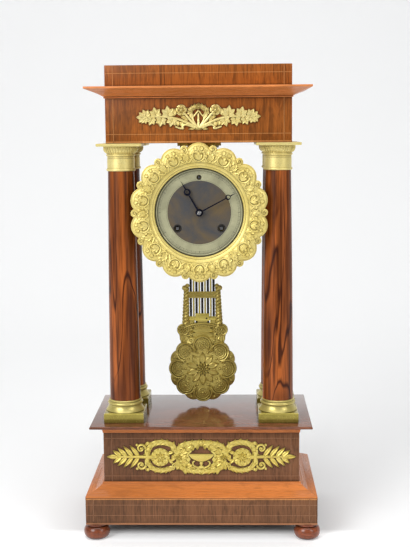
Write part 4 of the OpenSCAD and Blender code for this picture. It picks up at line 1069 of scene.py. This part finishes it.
class MakeMounts(bpy.types.Operator):
    """Pierced gilt mounts on the frieze and on the plinth"""

    bl_idname = "portico.mounts"
    bl_label = "Gilt mounts"

    def execute(self, context):
        self.frieze(sizes().leaf_rise / MM)
        self.plinth(sizes().leaf_rise / MM)
        return {"FINISHED"}

    def frieze(self, rise):
        """Two ivy sprays with flowers, on stems that rise from a tuft under a leafy arch."""
        face = box_mm("frieze_block")[0][1]
        work = relief((0, face - STAND, FRIEZE_MOUNT_AT))
        work.rosette((0, 10.2), 3.0, 6, rise)
        work.stem([(0, -11), (0, -4), (0, 3.4)], 1.5, 0.8)
        for work.flip in (-1, 1):
            acanthus(work, curve([(8.6, 2.6), (7.8, 6.4), (4.6, 9.2), (0.4, 10.6)]), 2.4, rise, 5)
            work.leaf((5.4, -2.0), 9.0, 4.4, 64, rise, 10)
            work.stem([(0.2, 6.2), (3.0, 2.6), (5.8, -0.6)], 0.75, 0.6)
            work.stem(curve([(0.5, -10.4), (8, -7.0), (18, -2.6), (30, 0.2), (44, 0.6), (56, 0)]), 1.7, 0.8)
            work.stem(curve([(1, -10), (8, -3.0), (13, 3.0), (16.6, 6.8)]), 1.5, 1.1)
            work.stem(curve([(0.5, -10.4), (4.6, -4.6), (6.6, 1.4)]), 1.2, 1.0)
            work.stem(curve([(3, -10.6), (9, -8.0), (13.5, -7.4), (16.0, -9.4), (15.4, -11.2), (19.5, -10.6),
                             (23, -9.2)]), 1.4, 0.8)
            work.dome((17.0, 7.0), 5.4, rise * 0.8, 20)
            work.rosette((17.0, 7.0), 5.6, 6, rise * 1.3)
            work.rosette((17.0, 7.0), 3.2, 5, rise * 1.8, 54)
            fan(work, (3.0, -11.0), (-172, -8), 7.5, 2.4, rise * 0.8)
            fan(work, (11.0, -4.6), (10, 62), 7.0, 3.2, rise)
            for at, heading, size in (((26.0, -2.6), -72, 7.0), ((30.0, 2.8), 84, 8.2),
                                      ((37.0, -2.2), -80, 7.0), ((42.5, 2.4), 78, 7.6),
                                      ((46.5, -1.8), -68, 6.4), ((52.0, 1.6), 62, 6.6),
                                      ((53.0, -1.0), -52, 5.8), ((54.4, 0), 2, 7.2)):
                ivy(work, at, heading, size, rise)
            for at, length, width, angle in (((24.4, 1.4), 7.6, 4.6, 100), ((15.4, -5.0), 5.0, 4.6, -50),
                                             ((21.0, -3.4), 6.0, 4.2, -100), ((12.2, -1.0), 6.0, 3.6, 20)):
                work.leaf(at, length, width, angle, rise)
        make_piece("frieze_spray", work, [finish("gilding")], "case",
                   ["frieze_mount"])

    def plinth(self, rise):
        """A cup in an oval wreath, between two scrolls with feathered ends."""
        face = box_mm("plinth_block")[0][1]
        work = relief((0, face - STAND, PLINTH_MOUNT_AT))
        half_cup = [(2, -4.9), (5, -4), (9.5, -1.8), (12.2, 0.9), (12.6, 1.9)]
        cup = [(-x, z) for x, z in reversed(half_cup)] + half_cup
        work.plate(cup, rise * 1.3, 0.8)
        work.stem([(-12.8, 2.0), (12.8, 2.0)], 1.0, 1.0)
        work.stem([(0, -4.6), (0, -9.5)], 1.9, 1.1)
        work.dome((0, -6.8), 1.9, rise * 1.5)
        foot = [(-4.6, -12.4), (4.6, -12.4), (3.4, -10.8), (1.4, -9.2), (-1.4, -9.2), (-3.4, -10.8)]
        work.plate(foot, rise)
        for x, z in ((-7.6, 10.4), (-3.4, 11.8), (3.4, 11.8), (7.6, 10.4)):
            work.leaf((x, z), 4.6, 2.8, -90 + x * 3, rise)
        work.dome((0, 14.6), 2.4, rise * 1.4)
        for work.flip in (-1, 1):
            self.palm_end(work, rise)
            self.scroll(work, rise)
            self.wreath(work, rise)
            work.stem(curve([(3.4, -11.6), (7.6, -9.6), (8.8, -6.0), (6.6, -4.6)]), 1.0, 0.7)
            work.volute((28.0, 9.0), 2.6, 1.2, 200, 0.9, 1)
            work.volute((28.0, -9.6), 2.6, 1.2, 160, 0.9, -1)
        make_piece("plinth_scrolls", work, [finish("mount_gilding")], "case",
                   ["base_mount"])

    def wreath(self, work, rise):
        """One half of the leafy wreath, on a thin ground."""
        ground = [(13.2, 2.4), (10.4, 5.0), (8.6, 8.4), (4.0, 10.8), (0, 11.4), (0, 15.4), (10, 15.2),
                  (19.6, 12.8), (25.0, 7), (26.0, 0), (25.6, -6), (20.6, -12.2), (11, -15.4), (0, -16.4),
                  (0, -12.6), (5.4, -12.4), (10.6, -9.6), (12.4, -5.0), (11.0, -2.6), (13.0, 0.4)]
        work.plate(ground, 0.2, 1.0)
        upper = curve([(25.5, -1), (24.6, 6.0), (19.4, 11.8), (10, 14.2), (0, 14.8)])
        lower = curve([(26.0, -5), (20.4, -11.4), (11.0, -14.8), (0, -15.6)])
        acanthus(work, upper, 2.9, rise, 6)
        acanthus(work, lower, 2.7, rise, 6)
        for at, leaves in (((22, -1), ((178, 8.6), (150, 8.4), (206, 8.4))),
                           ((20, 4), ((120, 7), (165, 7.5))),
                           ((16, 8.4), ((190, 6.6),)), ((15, 9.6), ((150, 6.5),)),
                           ((20, -6), ((220, 7), (178, 7.5))), ((14.5, -10.4), ((200, 7.0), (160, 6.0))),
                           ((23.4, -8), ((-70, 6.5),)), ((17, -13), ((-100, 6.0),))):
            for angle, length in leaves:
                work.leaf(at, length, 4.6, angle, rise)
        work.rosette((22.8, -1.0), 3.4, 6, rise * 1.5)

    def palm_end(self, work, rise):
        """The feathered leaf at the end of the mount and the two volutes at its foot."""
        work.leaf((86.5, 0), 11.0, 4.8, 0, rise)
        work.stem([(55, 0), (70, 0), (89, 0)], 1.9, 0.9)
        for foot, length, angle in ((64.2, 15.6, 57), (70.6, 15.2, 54), (76.8, 13.8, 50), (82.6, 11.0, 43)):
            for side in (-1, 1):
                work.leaf((foot, 0), length, 4.4, side * angle, rise, -side * 8)
        for side in (-1, 1):
            work.stem(curve([(55, side * 1.0), (57.0, side * 4.0), (57.0, side * 8.0)]), 1.5, 1.3)
            work.volute((61.9, side * 8.8), 4.7, 1.15, 180, 1.3, -side)
            work.leaf((57.4, side * 11.6), 5.0, 2.8, side * 118, rise)
            work.dome((66.2, side * 12.6), 1.4, rise)
        work.stem([(55.6, -5.6), (55.6, 0), (55.6, 5.6)], 2.0, 2.0)
        work.dome((55.6, 0), 2.8, rise * 1.4)

    def scroll(self, work, rise):
        """The leafy scroll that opens round a flower."""
        upper = curve([(26.5, 5.0), (29.5, 11.6), (35, 14.4), (42.4, 15.2), (50, 13.2), (54.4, 7.5),
                       (55.4, 2)])
        lower = curve([(30.5, -11.8), (35.6, -13.8), (42.4, -14.4), (50, -12.4), (54.4, -7.0), (55.4, -2)])
        acanthus(work, upper, 2.9, rise, 8)
        acanthus(work, lower, 2.6, rise, 7)
        work.dome((55.0, 14.4), 1.9, rise * 1.2)
        work.dome((55.0, -13.6), 1.7, rise * 1.2)
        work.volute((29.6, -12.2), 2.2, 1.2, 30, 0.9, 1)
        flower = (42.2, -0.4)
        work.dome(flower, 9.6, 0.9, 28)
        for angle in spokes(11):
            work.leaf(beside(flower, 4.6, angle), 5.6, 3.6, angle, rise, 36)
        work.rosette(flower, 5.8, 7, rise * 1.7)
        work.stem([(50, -0.4), (56, 0)], 2.2, 2.2)
        for at, angle in (((33.5, -3.0), 215), ((34.0, 3.4), 150), ((30.0, 2.0), 235), ((30.5, -4.0), 130)):
            work.leaf(at, 6.6, 3.8, angle, rise, 20)


def round_ground(height):
    """The ground of a round casting, from its height by radius and angle."""
    def ground(x, z):
        return height(math.hypot(x, z), math.degrees(math.atan2(z, x)))
    return ground


def circle_edge(at, radius, away):
    """How far from the middle a circle reaches at an angle from its own direction, or 0 past its sides."""
    across, up = turn(away)
    inside = radius ** 2 - (at * up) ** 2
    return at * across + math.sqrt(inside) if inside > 0 else 0.0


class MakeBezel(bpy.types.Operator):
    """Lobed gilt bezel with a nest of leaves on each lobe and a curl between them"""

    bl_idname = "portico.bezel"
    bl_label = "Bezel"

    def execute(self, context):
        low, high = box_mm("bezel")
        at = dial_middle()
        back = high[1]
        thick = high[1] - low[1]
        # Radii of the lobes' tips, the opening, the inner band and the lowest places of the outer edge.
        outer = 70.0
        inner = 44.8
        band = 50.4
        valley = 64.0
        lobes = sizes().lobes
        step = 360 / lobes
        lobe_r = outer * 0.19
        lobe_at = outer - lobe_r
        curl_r = 4.1
        curl_at = 64.6

        def outline(angle):
            away = (angle - 90) % step
            away = min(away, step - away)
            lobe_edge = circle_edge(lobe_at, lobe_r, away)
            return max(valley, lobe_edge, circle_edge(curl_at, curl_r, step / 2 - away))

        def height(radius, angle):
            if radius <= band:
                t = (radius - inner) / (band - inner)
                return thick * (0.22 + 0.27 * t * t)
            t = min(1.0, (radius - band) / (outline(angle) - band))
            bulge = math.sin(math.pi * min(1.0, 0.06 + 0.84 * t))
            away = ((angle - 90 + step / 2) % step - step / 2) / step
            swell = 0.5 + 0.5 * math.cos(2 * math.pi * away)
            return thick * (0.46 + (0.2 + 0.08 * swell) * bulge - 0.16 * t * t)

        def line(angle):
            edge = outline(angle)
            radii = [inner + 1.0, band - 2.0, band - 0.8, band]
            for share in (0.06, 0.12, 0.2, 0.3, 0.42, 0.55, 0.68, 0.8, 0.9, 0.96, 1.0):
                radii.append(band + (edge - band) * share)
            front = [(radius, back - height(radius, angle)) for radius in radii]
            return [(inner, back), (inner, back - thick * 0.2), *front, (edge, back - thick * 0.16),
                    (edge - 0.8, back)]

        work = relief((at[0], back, at[1]), round_ground(height))
        work.faced(at, line, lobes * 48, True)
        work.ring((0, 0), 46.0, 0.9, 0.9, 120)
        work.ring((0, 0), 49.9, 0.45, 1.2, 120)
        for angle in spokes(lobes, 90):
            self.lobe(work, angle, lobe_at, lobe_r, step, sizes().leaf_rise / MM)
        make_piece("chased_bezel", work, [finish("bezel_gilding")], "case", ["bezel"])
        return {"FINISHED"}

    def lobe(self, work, angle, lobe_at, lobe_r, step, rise):
        """The border, nest and leaves of one lobe, with the sprig and curl beside it."""
        def spot(radius, away):
            return beside((0, 0), radius, angle + away)

        border = arc(spot(lobe_at, 0), lobe_r - 2.2, lobe_r - 2.2, angle - 84, angle + 84, 22)
        work.stem(border, 1.8, 1.8, 0.45)
        nest = spot(57.4, 0)
        high = rise * 1.25
        groove = 0.7
        work.stem(arc(nest, 6.0, 6.0, angle + 58, angle + 302, 24), 1.0, 1.0, 1.2)
        for tilt in (-58, 58):
            work.dome(beside(nest, 6.0, angle + tilt), 1.6, 1.6, 12)
        for tilt, length, width in ((-36, 7.6, 4.4), (36, 7.6, 4.4), (0, 9.6, 4.6)):
            work.leaf(spot(52.8, 0), length, width, angle + tilt, high, -tilt * 0.5, groove)
        for tilt in (-92, -24, 24, 92):
            work.leaf(beside(nest, 5.6, angle + tilt), 4.4, 4.0, angle + tilt * 1.2, high, 0.0, groove)
        gap = step / 2
        for side in (-1, 1):
            path = ((55.6, 6.6), (52.2, 8.8), (51.2, 11.2), (52.8, gap))
            work.stem(curve([spot(reach, side * tilt) for reach, tilt in path]), 0.95, 0.75, 1.1)
            work.leaf(spot(53.6, gap), 7.2, 4.0, angle + gap + side * 36, high, -side * 26, groove)
        work.leaf(spot(53.0, gap), 9.4, 5.2, angle + gap, high, 0.0, groove)
        work.volute(spot(64.8, gap), 3.1, 1.4, angle + gap + 180, 0.95, 1, 1.1)
        work.stem([spot(62.6, gap - 4.6), spot(61.2, gap), spot(62.6, gap + 4.6)], 0.85, 0.85, 1.1)


class MakeDial(bpy.types.Operator):
    """Sight ring, silvered chapter ring with its engraved marks, and dark dial centre"""

    bl_idname = "portico.dial"
    bl_label = "Dial"

    def execute(self, context):
        at = dial_middle()
        low, high = box_mm("sight_ring")
        work = Carving()
        front, back = low[1], high[1]
        inner, outer = 42.25, 44.7
        bead = arc((43.0, back - 1.3), 0.6, 0.6, 180, 360, 6)
        profile = [(inner, back), (inner, back - 0.9), *bead, (43.65, back - 1.0), (43.9, back - 1.0),
                   (44.3, front + 0.2), (outer, front), (outer, back)]
        work.faced(at, profile, 120, True)
        make_piece("sight_bead", work, [finish("silvering")], "case", ["sight_ring"])
        # Painted shadows: thin black rings at the sight ring's edges, where it meets the bezel and the
        # chapter ring.
        shadow = Carving()
        for radius, half, depth in ((44.3, 0.35, front - 0.1), (42.2, 0.3, back - 0.3)):
            shadow.hoop(at, radius, half, depth, depth + 0.4)
        make_piece("sight_lines", shadow, [finish("bush_black")], "case")
        self.marks(at)
        self.bushes(at)
        dress_nodes("silvering", "chapter_ring")
        dress_nodes("dial_dark", "dial_centre")
        return {"FINISHED"}

    def marks(self, at):
        """Fine engraved circles and minute strokes."""
        face = box_mm("chapter_ring")[0][1]
        near, far = face - 0.03, face + 0.2
        outer, minute_inner, hour_inner, chapter_inner = 41.0, 39.6, 38.9, 33.0
        work = Carving()
        for radius in (outer, minute_inner, chapter_inner):
            work.hoop(at, radius, 0.09, near, far)
        for k in range(60):
            across, up = turn(90 - 6 * k)
            start, half = (minute_inner, 0.1) if k % 5 else (hour_inner, 0.22)
            stroke = []
            for reach, side in ((start, -half), (outer, -half), (outer, half), (start, half)):
                stroke.append((at[0] + reach * across - side * up, at[1] + reach * up + side * across))
            work.cut(stroke, far, near)
        make_piece("minute_marks", work, [finish("engraving")], "case")

    def bushes(self, at):
        """Black rings around the winding squares and the regulating square."""
        face = box_mm("chapter_ring")[0][1]
        work = Carving()
        for x, z, inner, outer in ((-22.2, -15.9, 2.9, 4.2), (22.2, -15.9, 2.9, 4.2), (0, 35.3, 1.9, 2.5)):
            profile = [(inner, face + 0.6), (inner, face - 0.1), (inner + 0.3, face - 0.3),
                       (outer - 0.4, face - 0.3), (outer, face), (outer, face + 0.6)]
            work.faced((at[0] + x, at[1] + z), profile, 32, True)
        make_piece("winding_bushes", work, [finish("bush_black")], "case")


class MakeHands(bpy.types.Operator):
    """Blued moon hands and their collet"""

    bl_idname = "portico.hands"
    bl_label = "Hands"

    def execute(self, context):
        dress_nodes("blued_steel", "hour_hand", "minute_hand")
        dress_nodes("steel", "hand_collet")
        front = box_mm("centre_wheel")[0][1]
        x, z = dial_middle()
        work = relief((x, front, z))
        work.dome((0, 0), 1.5, 0.5, 16)
        pin = [beside((x, z), reach, 28) for reach in (-2.6, 0, 2.6)]
        work.tube([(right, front, up) for right, up in pin], [0.3, 0.36, 0.42])
        make_piece("hand_pin", work, [finish("steel")], "centre_arbor")
        return {"FINISHED"}


class MakeBob(bpy.types.Operator):
    """Scalloped gilt bob with medallions around a long-petalled flower"""

    bl_idname = "portico.bob"
    bl_label = "Bob"

    def execute(self, context):
        low, high = box_mm("bob")
        middle = (low[2] + high[2]) / 2
        outer = (high[0] - low[0]) / 2
        # Depth of the plane from which the relief of the front rises.
        seat = 26.0
        back = high[1]
        scallops = sizes().scallops
        rise = 1.2 * sizes().leaf_rise / MM

        def outline(angle):
            across = abs(math.cos(math.radians(scallops / 2 * (angle - 90))))
            return outer * (1 - 0.05 * (1 - across ** 0.8))

        def height(radius, angle):
            t = min(1.0, radius / outline(angle))
            raised = 2.4 + 1.9 * math.exp(-((t - 0.74) / 0.17) ** 2) + 0.6 * math.exp(-(t / 0.2) ** 2)
            return raised * math.sqrt(max(0.0, 1 - t ** 8)) + 0.5

        def line(angle):
            edge = outline(angle)
            front = []
            for share in (0.01, 0.1, 0.2, 0.32, 0.44, 0.52, 0.6, 0.7, 0.8, 0.88, 0.94, 0.98, 1.0):
                front.append((edge * share, seat - height(edge * share, angle)))
            return [*front, (edge, seat + 0.6), (edge * 0.97, seat + 2.2), (edge * 0.8, back - 0.8),
                    (edge * 0.4, back), (edge * 0.01, back)]

        work = relief((0, seat, middle), round_ground(height))
        work.faced((0, middle), line, 192)
        petals = 10
        for angle in spokes(petals, 90):
            work.leaf(beside((0, 0), 6.0, angle), 12.4, 8.4, angle, rise * 1.1, 0.0, 0.5)
        work.domes((0, 0), 18.6, petals, 1.3, rise, 10, 90 + 180 / petals)
        for angle in spokes(petals):
            work.leaf(beside((0, 0), 2.4, angle), 5.6, 3.4, angle, rise * 1.4, 0.0, 0.6)
        work.ring((0, 0), 2.2, 0.7, 2.2, 20)
        work.dome((0, 0), 1.3, rise * 1.8, 12)
        medallions = scallops // 2
        for angle in spokes(medallions, 90):
            self.medallion(work, beside((0, 0), 26.2, angle), angle, rise)
            between = angle + 180 / medallions
            work.leaf(beside((0, 0), 19.6, between), 12.0, 4.6, between, rise)
            work.dome(beside((0, 0), 34.0, between), 1.6, rise, 10)
            for side in (-1, 1):
                work.leaf(beside((0, 0), 20.5, between), 7.0, 3.0, between + side * 34, rise, -side * 20)
        make_piece("chased_bob", work, [finish("old_gilding")], "pendulum", ["bob"])
        return {"FINISHED"}

    def medallion(self, work, at, angle, rise):
        """A beaded shell around a small flower of beads."""
        for radius, half in ((9.6, 1.0), (7.2, 0.7)):
            work.stem(arc(at, radius, radius, angle - 130, angle + 130, 28), half, half, 1.7)
        work.ring(at, 5.0, 0.5, 1.2, 24)
        work.domes(at, 3.1, 8, 0.85, 1.2, start=angle)
        work.dome(at, 1.4, rise * 1.2, 12)
        for n in range(9):
            work.dome(beside(at, 8.2, angle - 96 + 24 * n), 0.7, 0.9, 8)


class MakePendulum(bpy.types.Operator):
    """Ornamental pendulum frame with twisted arms, and the gridiron rods"""

    bl_idname = "portico.pendulum"
    bl_label = "Pendulum frame"

    # How far the arms stand from the middle and the flat castings behind the front, the arch's outer radius
    # about the bob's middle, all in millimetres, and the degrees that the arch spreads to each side.
    arm_x = 17.0
    setback = 0.9
    crown = 50.6
    spread = 24

    def execute(self, context):
        self.bars()
        dress_nodes("bright_gilding", "brass_rods")
        dress_nodes("brass", "pendulum_hook")
        dress_nodes("steel", "suspension_spring")
        low, high = box_mm("pendulum_frame")
        rods = box_mm("steel_rods")[0]
        front, back = low[1], high[1]
        hub = (0, middle_mm("bob")[2])
        self.yoke(front, back, rods, hub)
        self.bridge(front, back, rods)
        self.chasing(front + self.setback, rods[2], hub)
        return {"FINISHED"}

    def yoke(self, front, back, rods, hub):
        """Twisted arms on shoulders, a rail across them, and the arch over the bob."""
        work = Carving()
        shoulder = [(14, 208), (20.5, 207), (25.6, 202.6), (26, 197), (24.6, 191), (23.4, 184), (14, 190)]
        for side in (-1, 1):
            self.arm(work, side * self.arm_x, rods[2], (front + rods[1]) / 2 + 0.6)
            work.cut([(side * x, z) for x, z in shoulder], front + self.setback, back)
        work.block((-self.arm_x, front + 0.8, rods[2] + 29), (self.arm_x, rods[1], rods[2] + 36))
        rim = 34.0
        start, end = 90 - self.spread, 90 + self.spread
        arch = arc(hub, self.crown, self.crown, start, end, 20) + arc(hub, rim, rim, end, start, 20)
        work.cut(arch, front + self.setback, back)
        for x, half in ((-12.6, 2.6), (0, 5.2), (12.6, 2.6)):
            work.block((x - half, front + 1.4, rods[2] - 6), (x + half, rods[1], rods[2] + 6))
        make_piece("pendulum_yoke", work, [finish("old_gilding")], "pendulum",
                   ["pendulum_frame"], sharp=42)

    def bridge(self, front, back, rods):
        """The bright bar at the foot of the rods, with its plate and its stem."""
        foot = rods[2]
        work = Carving()
        work.block((-self.arm_x, front + 1.2, foot + 4.6), (self.arm_x, rods[1], foot + 8.6))
        work.block((-7.8, front + 0.4, foot + 3.8), (7.8, rods[1], foot + 12.0))
        stem = [(0.01, foot - 20), (2, foot - 20), (2, foot), (0.01, foot)]
        work.turned((0, (front + back) / 2), stem, 20)
        make_piece("pendulum_bridge", work, [finish("bright_gilding")], "pendulum",
                   soften=0.35)

    def chasing(self, face, foot, hub):
        """Beads on the rail, ribs and beads on the arch, bosses and leaves on the shoulders, a dark pin."""
        work = relief((0, face, 0))
        beads = 24
        for row in range(4):
            for i in range(beads):
                x = -15.4 + 30.8 * (i + 0.5 * (row % 2)) / beads
                work.dome((x, foot + 30 + 1.65 * row), 0.75, 0.55, 7)
        for reach, half in ((self.crown - 1.2, 1.1), (44.6, 0.8), (39.4, 0.9)):
            work.stem(arc(hub, reach, reach, 90 - self.spread, 90 + self.spread, 20), half, half)
        for spot in arc(hub, 47.2, 47.2, 72, 108, 14):
            work.dome(spot, 1.2, 1.0, 8)
        rise = sizes().leaf_rise / MM
        boss = (21.0, 200.2)
        for work.flip in (-1, 1):
            work.dome(boss, 6.8, 0.6, 28)
            work.ring(boss, 5.8, 0.9, 1.2, 28)
            work.domes(boss, 4.2, 12, 0.8, 1.5)
            work.ring(boss, 2.4, 0.7, 2.4, 16)
            work.dome(boss, 1.1, 2.0, 10)
            work.leaf((22.4, 194.2), 9.0, 5.4, -94, rise, 6)
            work.leaf((18.2, 193.4), 8.0, 4.6, -118, rise, -10)
            fan(work, (15.6, 198.6), (150, 190, 230), 8.0, 3.6, rise)
        make_piece("pendulum_frame_relief", work, [finish("old_gilding")], "pendulum")
        pin = relief((0, face - 0.5, 0))
        pin.dome((4.6, foot + 6.6), 1.0, 0.5, 12)
        make_piece("bridge_pin", pin, [finish("bush_black")], "pendulum")

    def bars(self):
        """The five dark bars of the gridiron, a little flattened."""
        low, high = box_mm("steel_rods")
        half = 1.3
        pitch = (high[0] - low[0] - (high[1] - low[1])) / 4
        work = Carving()
        for n in range(5):
            x = (n - 2) * pitch
            work.block((x - half, low[1], low[2]), (x + half, high[1], high[2]))
        make_piece("gridiron_bars", work, [finish("rod_steel")], "pendulum",
                   ["steel_rods"], soften=0.3)

    def arm(self, work, x, rod_low, y):
        """A twisted arm that tapers upward to a double knob."""
        foot = rod_low + 0.6
        tall = 39.4
        strands = 3
        twists = 3.5
        lean = 1.2 if x > 0 else -1.2
        for start in spokes(strands):
            path = []
            radii = []
            for t in evenly(60):
                reach = 2.2 - 0.6 * t
                across, deep = turn(start + 360 * twists * t)
                path.append((x + lean * (1 - t) + reach * across, y + reach * deep, foot + tall * t))
                radii.append(2.05 - 0.55 * t)
            work.tube(path, radii)
        top = foot + tall
        for at, radius in (((x + lean * 1.6, top), 3.0), ((x - lean * 0.8, top + 2.4), 2.4)):
            ball = arc((0, at[1]), radius, radius, -88, 88, 10)
            work.turned((at[0], y), [(max(0.01, out), z) for out, z in ball], 20)


class DressMovement(bpy.types.Operator):
    """Finishes of the movement, the bell and the fittings"""

    bl_idname = "portico.movement"
    bl_label = "Movement"

    def execute(self, context):
        dress_nodes("brass", "drum", "dial_plate", "front_plate", "back_plate", "pillars", "centre_wheel",
                    "minute_wheel", "hour_wheel", "intermediate_wheel", "third_wheel", "escape_wheel",
                    "going_barrel", "strike_barrel", "suspension_chops", "suspension_cock", "drum_bracket")
        dress_nodes("steel", "going_arbor", "strike_arbor", "regulator_arbor", "anchor", "bell_stand",
                    "hammer", "tie_rods", "tie_rod_nuts", "bracket_screws")
        dress_nodes("bell_metal", "bell")
        return {"FINISHED"}


class MakeStage(bpy.types.Operator):
    """Pale floor and backdrop, soft lights and the camera"""

    bl_idname = "portico.stage"
    bl_label = "Stage"

    def execute(self, context):
        self.camera()
        self.backdrop()
        self.world()
        self.lamp("soft_left", (-0.95, -1.15, 1.0), (0.8, 1.0), 17.5)
        self.lamp("soft_right", (1.05, -0.95, 0.9), (0.5, 0.9), 5.5)
        self.lamp("soft_top", (0.0, -0.3, 1.7), (1.2, 1.2), 9.0)
        context.scene.view_settings.view_transform = "Standard"
        return {"FINISHED"}

    def camera(self):
        """The camera, with the place, directions and focal length that were fitted to the photograph."""
        camera = bpy.data.cameras.new("camera")
        camera.sensor_width = SENSOR
        camera.lens = FOCAL_PIXELS / IMAGE_HEIGHT * SENSOR
        camera.clip_start = 0.01
        place = Vector((33.13, -1086.27, 412.99)) * MM
        right = Vector((0.99963, 0.02562, -0.00872)).normalized()
        forward = Vector((-0.02655, 0.99055, -0.13449)).normalized()
        up = right.cross(forward)
        turned = Matrix((right, up, -forward)).transposed().to_4x4()
        holder = bpy.data.objects.new("camera", camera)
        holder.matrix_world = Matrix.Translation(place) @ turned
        bpy.context.scene.collection.objects.link(holder)
        bpy.context.scene.camera = holder

    def backdrop(self):
        """A floor that bends up into a back wall, and glows a little where it is pale, with painted light
        just before the clock.
        """
        # Metres to each side, to the floor's front edge and to the bend, the bend's radius, and the height.
        width = 4.0
        front, bend_at, bend, top = -0.7, 0.9, 0.6, 3.5
        profile = [(front, 0.0), *arc((bend_at, bend), bend, bend, -90, 0, 12), (bend_at + bend, top)]
        points = []
        faces = []
        for i, (y, z) in enumerate(profile):
            points += [(-width, y, z), (width, y, z)]
            if i:
                faces.append((2 * i - 2, 2 * i - 1, 2 * i + 1, 2 * i))
        mesh = bpy.data.meshes.new("pale_backdrop")
        mesh.from_pydata(points, [], faces)
        mesh.polygons.foreach_set("use_smooth", [True] * len(mesh.polygons))
        floor = bpy.data.objects.new("pale_backdrop", mesh)
        bpy.context.scene.collection.objects.link(floor)
        material, work, shader = start_finish("pale_paper")
        shader.inputs["Base Color"].default_value = (0.88, 0.885, 0.89, 1)
        shader.inputs["Roughness"].default_value = 0.9
        shader.inputs["Specular IOR Level"].default_value = 0.0
        glow = work.node("ShaderNodeEmission")
        parts = work.parts(work.spot())
        # The glow behind the clock, before it and at its sides, by metres from its middle.
        behind = work.span(parts["Y"], 0.08, 0.9, 0.0, 0.12)
        # Painted light: a strip of glow on the floor from under the front of the base to just before it, so
        # that the shadow there ends short.
        before = work.math("MINIMUM", work.span(parts["Y"], -0.042, -0.056, 0.0, 0.36),
                           work.span(parts["Y"], -0.056, -0.08, 0.36, 0.045))
        sides = work.span(work.math("ABSOLUTE", parts["X"]), 0.12, 0.18, 0.0, 0.05)
        path = work.node("ShaderNodeLightPath").outputs
        seen = work.largest(path["Is Camera Ray"], path["Is Glossy Ray"], path["Is Transmission Ray"])
        strength = work.math("MULTIPLY", seen, work.largest(behind, before, sides))
        work.feed(glow.inputs["Strength"], strength)
        both = work.node("ShaderNodeAddShader")
        work.feed(both.inputs[0], shader.outputs[0])
        work.feed(both.inputs[1], glow.outputs[0])
        work.feed(material.node_tree.nodes["Material Output"].inputs["Surface"], both.outputs[0])
        mesh.materials.append(material)

    def world(self):
        """Surroundings: white where they are seen, soft cards where they are mirrored, light from above."""
        world = bpy.data.worlds.new("pale_room")
        bpy.context.scene.world = world
        world.use_nodes = True
        work = Tree(world.node_tree)
        ground = world.node_tree.nodes["Background"]
        ground.inputs["Color"].default_value = (1, 1, 1, 1)
        path = work.node("ShaderNodeLightPath").outputs
        way = work.parts(work.node("ShaderNodeTexCoord").outputs["Generated"])
        front = work.math("MAXIMUM", work.math("MULTIPLY", way["Y"], -1.0), 0.02)
        slant = work.math("DIVIDE", way["X"], front)
        room = work.span(way["Y"], 0.1, 0.8, 0.25, 0.95)
        # Soft cards in front, at the left and at the right: slant, half width and strength.
        for middle, half, power in ((-1.0, 0.7, 0.9), (1.0, 0.4, 0.7)):
            away = work.math("ABSOLUTE", work.math("SUBTRACT", slant, middle))
            room = work.math("MAXIMUM", room, work.span(away, half * 0.5, half, power, 0.0))
        mirrored = work.math("MULTIPLY", path["Is Glossy Ray"], room)
        seen = work.math("MAXIMUM", path["Is Camera Ray"], path["Is Transmission Ray"])
        shown = work.math("MULTIPLY", seen, 0.94)
        lit = work.math("MULTIPLY", path["Is Diffuse Ray"], work.span(way["Z"], 0.0, 0.6, 0.2, 0.62))
        work.feed(ground.inputs["Strength"], work.largest(mirrored, shown, lit))

    def lamp(self, name, at, size, power):
        """A soft lamp that aims at the middle of the clock."""
        light = bpy.data.lights.new(name, "AREA")
        light.shape = "RECTANGLE"
        light.size, light.size_y = size
        light.energy = power
        holder = bpy.data.objects.new(name, light)
        aim = Vector((0, 0, 0.25)) - Vector(at)
        holder.matrix_world = Matrix.Translation(at) @ aim.to_track_quat("-Z", "Y").to_matrix().to_4x4()
        bpy.context.scene.collection.objects.link(holder)


OPERATORS = (MakeBlocks, MakeMouldings, MakeFeet, MakeColumns, MakeCapitals, MakeMounts, MakeBezel, MakeDial,
             MakeHands, MakeBob, MakePendulum, DressMovement, MakeStage)


class PorticoPanel(bpy.types.Panel):
    """Lists the steps and the values of the portico clock"""

    bl_idname = "VIEW3D_PT_portico_clock"
    bl_label = "Portico clock"
    bl_space_type = "VIEW_3D"
    bl_region_type = "UI"
    bl_category = "Portico clock"

    def draw(self, context):
        """Shows the values, then the steps."""
        for group in (context.scene.portico_sizes, context.scene.portico_colours):
            for key in group.__annotations__:
                self.layout.prop(group, key)
        for step in OPERATORS:
            self.layout.operator(step.bl_idname)


CLASSES = (PorticoSizes, PorticoColours, *OPERATORS, PorticoPanel)


def register():
    """Adds the classes and the values."""
    for item in CLASSES:
        bpy.utils.register_class(item)
    bpy.types.Scene.portico_sizes = PointerProperty(type=PorticoSizes)
    bpy.types.Scene.portico_colours = PointerProperty(type=PorticoColours)


def unregister():
    """Takes the values and the classes away."""
    del bpy.types.Scene.portico_colours
    del bpy.types.Scene.portico_sizes
    for item in reversed(CLASSES):
        bpy.utils.unregister_class(item)


def main():
    """Makes the clock and its stage."""
    register()
    for step in OPERATORS:
        group, name = step.bl_idname.split(".")
        getattr(getattr(bpy.ops, group), name)()


if __name__ == "__main__":
    main()
